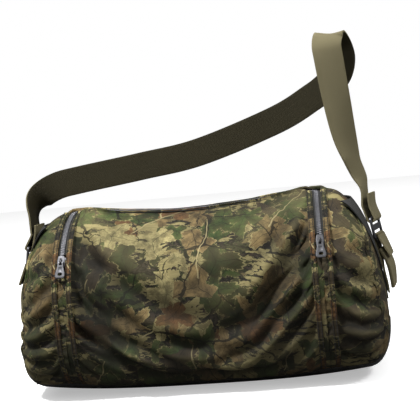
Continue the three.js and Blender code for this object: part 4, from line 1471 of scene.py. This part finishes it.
STRAP_WIDTH = 38 * MM
STRAP_THICK = 2.2 * MM
GAP = 0.3 * MM
BACKING_THICK = 1.5 * MM
BUCKLE_HEIGHT = 27 * MM
BUCKLE_BAR = 3 * MM
MIDDLE_BAR = 7.4 * MM
BUCKLE_Z = TOP - 56 * MM
BUCKLE_LEAN = math.radians(10)
BAR_PLACE = BUCKLE_HEIGHT / 2 - BUCKLE_BAR / 2
ANCHOR_LOOP = 3.6 * MM
STRAP_LOOP = 4.6 * MM
SWING_Z = TOP - 6 * MM
WEB_STEP = STRAP_THICK + GAP
ANCHOR_OUT = 2 * GAP + BACKING_THICK + STRAP_THICK / 2
YAW_CLEAR = 6 * MM  # how far a turn of one radian moves the right end's webbing outwards
TAIL_FLARE = 11 * MM  # how far the anchors' tails stand out at their ends
BUCKLE_X = (
    float(cap_x(BUCKLE_Z - BAR_PLACE * math.cos(BUCKLE_LEAN))) + ANCHOR_OUT
    + ANCHOR_LOOP * math.cos(BUCKLE_LEAN) - BAR_PLACE * math.sin(BUCKLE_LEAN) + GAP)
RIGHT_STRAP_X = BUCKLE_X - 11.5 * MM
LEFT_STRAP_X = BUCKLE_X - 7 * MM


def by_buckle(out, up):
    """X and Z of a place out from a right-hand buckle's middle plane and up along it."""
    return (
        BUCKLE_X + out * math.cos(BUCKLE_LEAN) - up * math.sin(BUCKLE_LEAN),
        BUCKLE_Z + up * math.cos(BUCKLE_LEAN) + out * math.sin(BUCKLE_LEAN))


def loop_points(up, radius, turn):
    """Half a turn of webbing round a bar, from the inner side to the outer: turn 1 over it, -1 under it."""
    return [
        by_buckle(radius * math.cos(math.radians(a)), up + turn * radius * math.sin(math.radians(a)))
        for a in (180, 150, 120, 90, 60, 30, 0)]


def in_plane(points, side):
    return [(side * x, 0.0, z) for x, z in points]


def yaw_end(piece, side, low=100 * MM, high=165 * MM, top=None):
    """Turns the right end's webbing towards the front by its strap's pull, more the higher it is."""
    if side < 0:
        return
    places = read_places(piece)
    turn = math.radians(bpy.context.scene.stick_bag.end_yaw) * smooth_step(places[:, 2], low, high)
    if top is not None:
        turn = turn * (1 - smooth_step(places[:, 2], top - 12 * MM, top + 22 * MM)) * (places[:, 0] > 0)
    x, y = places[:, 0] - BUCKLE_X, places[:, 1]
    places[:, 0] = BUCKLE_X + YAW_CLEAR * turn + x * np.cos(turn) + y * np.sin(turn)
    places[:, 1] = y * np.cos(turn) - x * np.sin(turn)
    write_places(piece, places)


Y_AXIS = (0.0, 1.0, 0.0)


class STICKBAG_OT_anchors(bpy.types.Operator):
    """Add the black backing bands and the olive webbing that holds each buckle"""
    bl_idname = "stickbag.anchors"
    bl_label = "End Webbing"

    def execute(self, context):
        foot = BUCKLE_Z - 82 * MM
        for name, side in SIDES:
            low, high = foot - 6 * MM, TOP - 16 * MM

            def patch(u, v, side=side):
                z = low + (high - low) * v
                half = STRAP_WIDTH / 2 + 3 * MM + 32 * MM * smooth_step(z, 0.42 * TOP, 0.86 * TOP)
                y = (2 * u - 1) * half
                return np.stack([side * (end_x(y, z) + 1.7 * MM), y, z], -1)

            band = grid_sheet(
                f"{name}_backing", 30, 60, patch, lambda u, v: ((u - 0.5) * 0.09, (high - low) * v))
            turn_out(band)
            thicken(band, 1.4 * MM, material("black base cloth"))
            finish(band, "bag", "black_webbing", f"{name}_backing_band")
            tops = np.linspace(foot, by_buckle(-ANCHOR_LOOP, -BAR_PLACE)[1] - 8 * MM, 6)
            inner = [(cap_x(z) + ANCHOR_OUT, z) for z in tops]
            tail_z = BUCKLE_Z - 36 * MM
            tail = [(cap_x(tail_z) + ANCHOR_OUT + WEB_STEP + TAIL_FLARE, tail_z)]
            line = [*inner, *loop_points(-BAR_PLACE, ANCHOR_LOOP, 1), *tail]
            places = follow(in_plane(line, side), 150)
            anchor = ribbon(
                f"{name}_anchor_webbing", places, np.tile(Y_AXIS, (151, 1)), STRAP_WIDTH, STRAP_THICK, 8,
                material("olive webbing"))
            yaw_end(anchor, side)
            finish(anchor, "bag", "olive_webbing", f"{name}_anchor", angle=None)
            self.box_stitch(name, side, foot)
            self.lower_ply(name, side, tail_z)
        return {"FINISHED"}

    def lower_ply(self, name, side, top):
        """The webbing's second ply, which stands off the end below the tail."""
        heights = np.linspace(top + 10 * MM, top - 40 * MM, 5)
        outs = np.array([1.0, 5.0, 6.5, 6.0, 5.0]) * MM
        line = [(cap_x(z) + ANCHOR_OUT + WEB_STEP + out, z) for z, out in zip(heights, outs)]
        places = follow(in_plane(line, side), 40)
        ply = ribbon(
            f"{name}_lower_ply", places, np.tile(Y_AXIS, (41, 1)), STRAP_WIDTH, 2 * STRAP_THICK, 8,
            material("olive webbing"))
        yaw_end(ply, side, 50 * MM, 130 * MM)
        finish(ply, "bag", "olive_webbing", angle=None)

    def box_stitch(self, name, side, foot):
        """A sewn box with a cross in it, near the anchor's foot."""
        half, low, high = 15 * MM, foot + 4 * MM, foot + 38 * MM
        ends = [(-half, low), (half, low), (half, high), (-half, high), (-half, low), (half, high)]
        lines = list(zip(ends, ends[1:])) + [((-half, high), (half, low))]
        frames = []
        for (y0, z0), (y1, z1) in lines:
            count = int(math.hypot(y1 - y0, z1 - z0) / (3 * MM))
            for k in range(count):
                t = (k + 0.5) / count
                y, z = y0 + (y1 - y0) * t, z0 + (z1 - z0) * t
                out = cap_x(z) + ANCHOR_OUT + STRAP_THICK / 2 + 0.05 * MM
                lean = math.atan2(cap_x(z + MM) - cap_x(z - MM), 2 * MM)
                along = Vector(((z1 - z0) * side * math.sin(lean), y1 - y0, z1 - z0)).normalized()
                normal = Vector((side * math.cos(lean), 0, -math.sin(lean)))
                x_axis = along.cross(normal)
                turned = Matrix((x_axis, along, normal)).transposed().to_4x4()
                frames.append(Matrix.Translation((side * out, y, z)) @ turned)
        thread = scatter(f"{name}_anchor_thread", one_stitch(2.3 * MM, 0.6 * MM), frames)
        yaw_end(thread, side)
        paint(thread, material("thread"))
        finish(thread, "bag", "olive_webbing")


def round_corners(plate):
    """Rounds the four corners of an upright plate that run through its thickness."""
    select_only(plate)
    bpy.ops.object.mode_set(mode="EDIT")
    bpy.ops.mesh.select_mode(type="EDGE")
    bpy.ops.mesh.select_all(action="DESELECT")
    bpy.ops.object.mode_set(mode="OBJECT")
    corners = plate.data.vertices
    for edge in plate.data.edges:
        a, b = (corners[i].co for i in edge.vertices)
        edge.select = abs(a.y - b.y) < 1e-6 and abs(a.z - b.z) < 1e-6
    bpy.ops.object.mode_set(mode="EDIT")
    bpy.ops.mesh.bevel(offset=3.4 * MM, segments=5, affect="EDGES")
    bpy.ops.object.mode_set(mode="OBJECT")


class STICKBAG_OT_buckles(bpy.types.Operator):
    """Add the three-bar buckles"""
    bl_idname = "stickbag.buckles"
    bl_label = "Buckles"

    def execute(self, context):
        inside = STRAP_WIDTH + 1.6 * MM
        for name, side in SIDES:
            plate = box_piece(f"{name}_three_bar_buckle", (BUCKLE_BAR, inside + 6.8 * MM, BUCKLE_HEIGHT))
            round_corners(plate)
            for up in (-1, 1):
                near, far = up * MIDDLE_BAR / 2, up * (BAR_PLACE - BUCKLE_BAR / 2)
                window = box_piece(
                    "window", (4 * BUCKLE_BAR, inside, abs(far - near)), (0, 0, (near + far) / 2))
                cut(plate, window)
            bevel_sharp(plate, 0.8 * MM, 3)
            turn = Matrix.Rotation(-side * BUCKLE_LEAN, 4, "Y")
            plate.data.transform(Matrix.Translation((side * BUCKLE_X, 0, BUCKLE_Z)) @ turn)
            yaw_end(plate, side, 0, 1 * MM)
            paint(plate, material("dull steel"))
            finish(plate, f"{name}_buckle", "buckle_metal", f"{name}_buckle", angle=40)
        return {"FINISHED"}


# The strap's middle line in millimetres, its heights measured up from the swing axis, and the way
# across its width. The first points are from the right foot, the middle two from the bag's middle,
# and the last from the left foot.
FROM_RIGHT = [
    ((0, 0, 0), (0, 1, 0)), ((-5, -2, 22), (0.37, 0.93, 0)), ((-16, -9, 64), (0.79, 0.62, 0)),
    ((-23, -14, 115), (0.94, 0.34, 0)), ((-28, -16, 162), (0.985, 0.17, 0)),
    ((-29, -13, 181), (1, 0.04, -0.06)), ((-24, 0, 193), (1, 0, -0.1)),
    ((-16, 12, 181), (1, 0, -0.16)), ((-12, 16, 163), (0.97, 0, -0.24)),
    ((-18, 18, 144), (0.83, 0, -0.55)), ((-33, 18, 131), (0.66, 0, -0.75)),
    ((-52, 18, 119), (0.52, 0, -0.85)), ((-101, 18, 95), (0.36, 0, -0.93)),
]
FROM_MIDDLE = [((9, 18, 64), (0.22, 0, -0.975)), ((-67, 13, 53), (0.14, 0, -0.99))]
FROM_LEFT = [
    ((66, 5, 43), (0.12, 0, -0.99)), ((36, 2, 38), (0.3, 0.08, -0.95)), ((15, 0, 28), (0.5, 0.36, -0.77)),
    ((4, 0, 15), (0.2, 0.88, -0.42)), ((0, 0, 0), (0, 1, 0)),
]


def strap_route():
    """The whole strap's middle line and widths: tail, turn round the buckle, over the arch, and back."""
    leg = SWING_Z - STRAP_WIDTH / 2 - GAP
    tail_z = SWING_Z - 7 * MM
    right = [
        (RIGHT_STRAP_X + 3.4 * WEB_STEP, tail_z), (RIGHT_STRAP_X + 3.6 * WEB_STEP, leg - 3 * MM),
        *reversed(loop_points(BAR_PLACE, STRAP_LOOP, -1)),
        (RIGHT_STRAP_X, leg - 3 * MM), (RIGHT_STRAP_X, leg)]
    left = [
        (LEFT_STRAP_X, leg), (LEFT_STRAP_X, leg - 3 * MM),
        *reversed(loop_points(BAR_PLACE, STRAP_LOOP, -1)),
        (LEFT_STRAP_X - 1.8 * WEB_STEP, leg - 3 * MM), (LEFT_STRAP_X - 2.6 * WEB_STEP, tail_z - 3 * MM)]
    rows = [(x, 0, z, *Y_AXIS) for x, z in right]
    for points, start in ((FROM_RIGHT, RIGHT_STRAP_X), (FROM_MIDDLE, 0.0), (FROM_LEFT, -LEFT_STRAP_X)):
        rows += [(start + x * MM, y * MM, SWING_Z + z * MM, *across) for (x, y, z), across in points]
    rows += [(-x, 0, z, *Y_AXIS) for x, z in left]
    return rows


class STICKBAG_OT_strap(bpy.types.Operator):
    """Add the shoulder strap, one length of webbing from tail to tail"""
    bl_idname = "stickbag.strap"
    bl_label = "Shoulder Strap"

    def execute(self, context):
        route = follow(strap_route(), 4 * context.scene.stick_bag.strap_steps)
        piece = ribbon(
            "shoulder_strap", route[:, :3], route[:, 3:], STRAP_WIDTH, STRAP_THICK, 10,
            material("olive webbing"), material("shaded webbing"))
        # The inner face takes the painted shade, except low on the right, where it keeps the plain olive.
        for face in piece.data.polygons:
            if face.center.x > 0 and face.center.z < SWING_Z + 8 * MM:
                face.material_index = 0
        yaw_end(piece, 1, top=SWING_Z + 20 * MM)
        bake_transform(piece)
        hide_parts("strap_web", "left_strap_end", "right_strap_end")
        return {"FINISHED"}


# ------------------------------------------------------------------ studio


FLOOR_GLOW = 0.42  # the floor's own light, which keeps it pale in shade
FLOOR_DIM = 0.16  # the grey that the bag itself gets from the floor
ROOM_LIGHT = 0.16


def area_light(name, place, aim, size, power, colour=(1, 1, 1)):
    light = bpy.data.lights.new(name, "AREA")
    light.shape = "RECTANGLE"
    light.size, light.size_y = size
    light.energy = power
    light.color = colour
    lamp = bpy.data.objects.new(name, light)
    lamp.location = place
    lamp.rotation_euler = (Vector(aim) - Vector(place)).to_track_quat("-Z", "Y").to_euler()
    bpy.context.scene.collection.objects.link(lamp)


def show_camera(tree, seen, unseen, output):
    """Shows the camera one shader and lights the room by the other."""
    chosen = tree.nodes.new("ShaderNodeMixShader")
    tree.links.new(tree.nodes.new("ShaderNodeLightPath").outputs["Is Camera Ray"], chosen.inputs[0])
    tree.links.new(unseen.outputs[0], chosen.inputs[1])
    tree.links.new(seen.outputs[0], chosen.inputs[2])
    tree.links.new(chosen.outputs[0], tree.nodes[output].inputs["Surface"])


class STICKBAG_OT_studio(bpy.types.Operator):
    """Add the floor, the soft lights and the camera"""
    bl_idname = "stickbag.studio"
    bl_label = "Studio"

    def execute(self, context):
        bpy.ops.object.select_all(action="DESELECT")
        bpy.ops.mesh.primitive_plane_add(size=9, location=(0, 0, -0.1 * MM))
        floor = context.object
        floor.name = "studio_floor"
        finish, tree, shader = new_material("pale floor")
        grain = noise_texture(tree, coordinates(tree, "Object"), 3.0, 2.0).outputs["Fac"]
        tone = context.scene.stick_bag_colours.floor
        tone = lay_over(tree, grain, 0.04, tuple(tone), (0.8, 0.8, 0.8, 1))
        link(tree, tone, shader.inputs["Base Color"])
        shader.inputs["Roughness"].default_value = 0.9
        shader.inputs["Specular IOR Level"].default_value = 0.0
        shader.inputs["Emission Color"].default_value = (1, 1, 1, 1)
        shader.inputs["Emission Strength"].default_value = FLOOR_GLOW
        dim = tree.nodes.new("ShaderNodeBsdfDiffuse")
        dim.inputs["Color"].default_value = (FLOOR_DIM, FLOOR_DIM, FLOOR_DIM, 1)
        show_camera(tree, shader, dim, "Material Output")
        paint(floor, finish)
        world = bpy.data.worlds.new("soft room")
        world.use_nodes = True
        room = world.node_tree.nodes["Background"]
        room.inputs["Strength"].default_value = ROOM_LIGHT
        seen = world.node_tree.nodes.new("ShaderNodeBackground")
        for background in (room, seen):
            background.inputs["Color"].default_value = (1, 1, 1, 1)
        show_camera(world.node_tree, seen, room, "World Output")
        context.scene.world = world
        context.scene.view_settings.view_transform = "Standard"
        area_light("overhead", (0.0, 0.0, 3.2), (0, 0, 0), (12.0, 12.0), 240)
        area_light("key", (-0.75, -0.7, 2.0), (0, 0, 0.12), (0.35, 0.35), 62)
        area_light("right_rim", (1.3, -0.3, 1.3), (0.1, 0, 0.15), (0.4, 0.4), 14)
        self.camera(context)
        return {"FINISHED"}

    def camera(self, context):
        azimuth, elevation, roll = math.radians(7.5), math.radians(4), math.radians(5.6)
        distance = 1.086
        target = Vector((0.0176, 0, 0.2108))
        away = Vector((
            math.sin(azimuth) * math.cos(elevation), -math.cos(azimuth) * math.cos(elevation),
            math.sin(elevation)))
        data = bpy.data.cameras.new("camera")
        data.lens = 72.6
        data.sensor_width = 36
        camera = bpy.data.objects.new("camera", data)
        turn = (-away).to_track_quat("-Z", "Y").to_matrix().to_4x4() @ Matrix.Rotation(-roll, 4, "Z")
        camera.matrix_world = Matrix.Translation(target + away * distance) @ turn
        context.scene.collection.objects.link(camera)
        context.scene.camera = camera


# ------------------------------------------------------------------ panel and registration

OPERATORS = (
    STICKBAG_OT_studio, STICKBAG_OT_front, STICKBAG_OT_rear, STICKBAG_OT_ends, STICKBAG_OT_base,
    STICKBAG_OT_tapes, STICKBAG_OT_teeth, STICKBAG_OT_sliders, STICKBAG_OT_pullers, STICKBAG_OT_strips,
    STICKBAG_OT_anchors, STICKBAG_OT_buckles, STICKBAG_OT_strap)


class STICKBAG_PT_panel(bpy.types.Panel):
    """The bag's sizes, colours and steps"""
    bl_label = "Drum Stick Bag"
    bl_space_type = "VIEW_3D"
    bl_region_type = "UI"
    bl_category = "Stick Bag"

    def draw(self, context):
        for group in (context.scene.stick_bag, context.scene.stick_bag_colours):
            box = self.layout.box()
            for name in group.bl_rna.properties.keys():
                if name not in ("rna_type", "name"):
                    box.prop(group, name)
        for operator in OPERATORS:
            self.layout.operator(operator.bl_idname)


CLASSES = (BagShape, BagColours, *OPERATORS, STICKBAG_PT_panel)


def register():
    for cls in CLASSES:
        bpy.utils.register_class(cls)
    bpy.types.Scene.stick_bag = PointerProperty(type=BagShape)
    bpy.types.Scene.stick_bag_colours = PointerProperty(type=BagColours)


def unregister():
    del bpy.types.Scene.stick_bag
    del bpy.types.Scene.stick_bag_colours
    for cls in reversed(CLASSES):
        bpy.utils.unregister_class(cls)


def main():
    register()
    for operator in OPERATORS:
        group, name = operator.bl_idname.split(".")
        getattr(getattr(bpy.ops, group), name)()


if __name__ == "__main__":
    main()
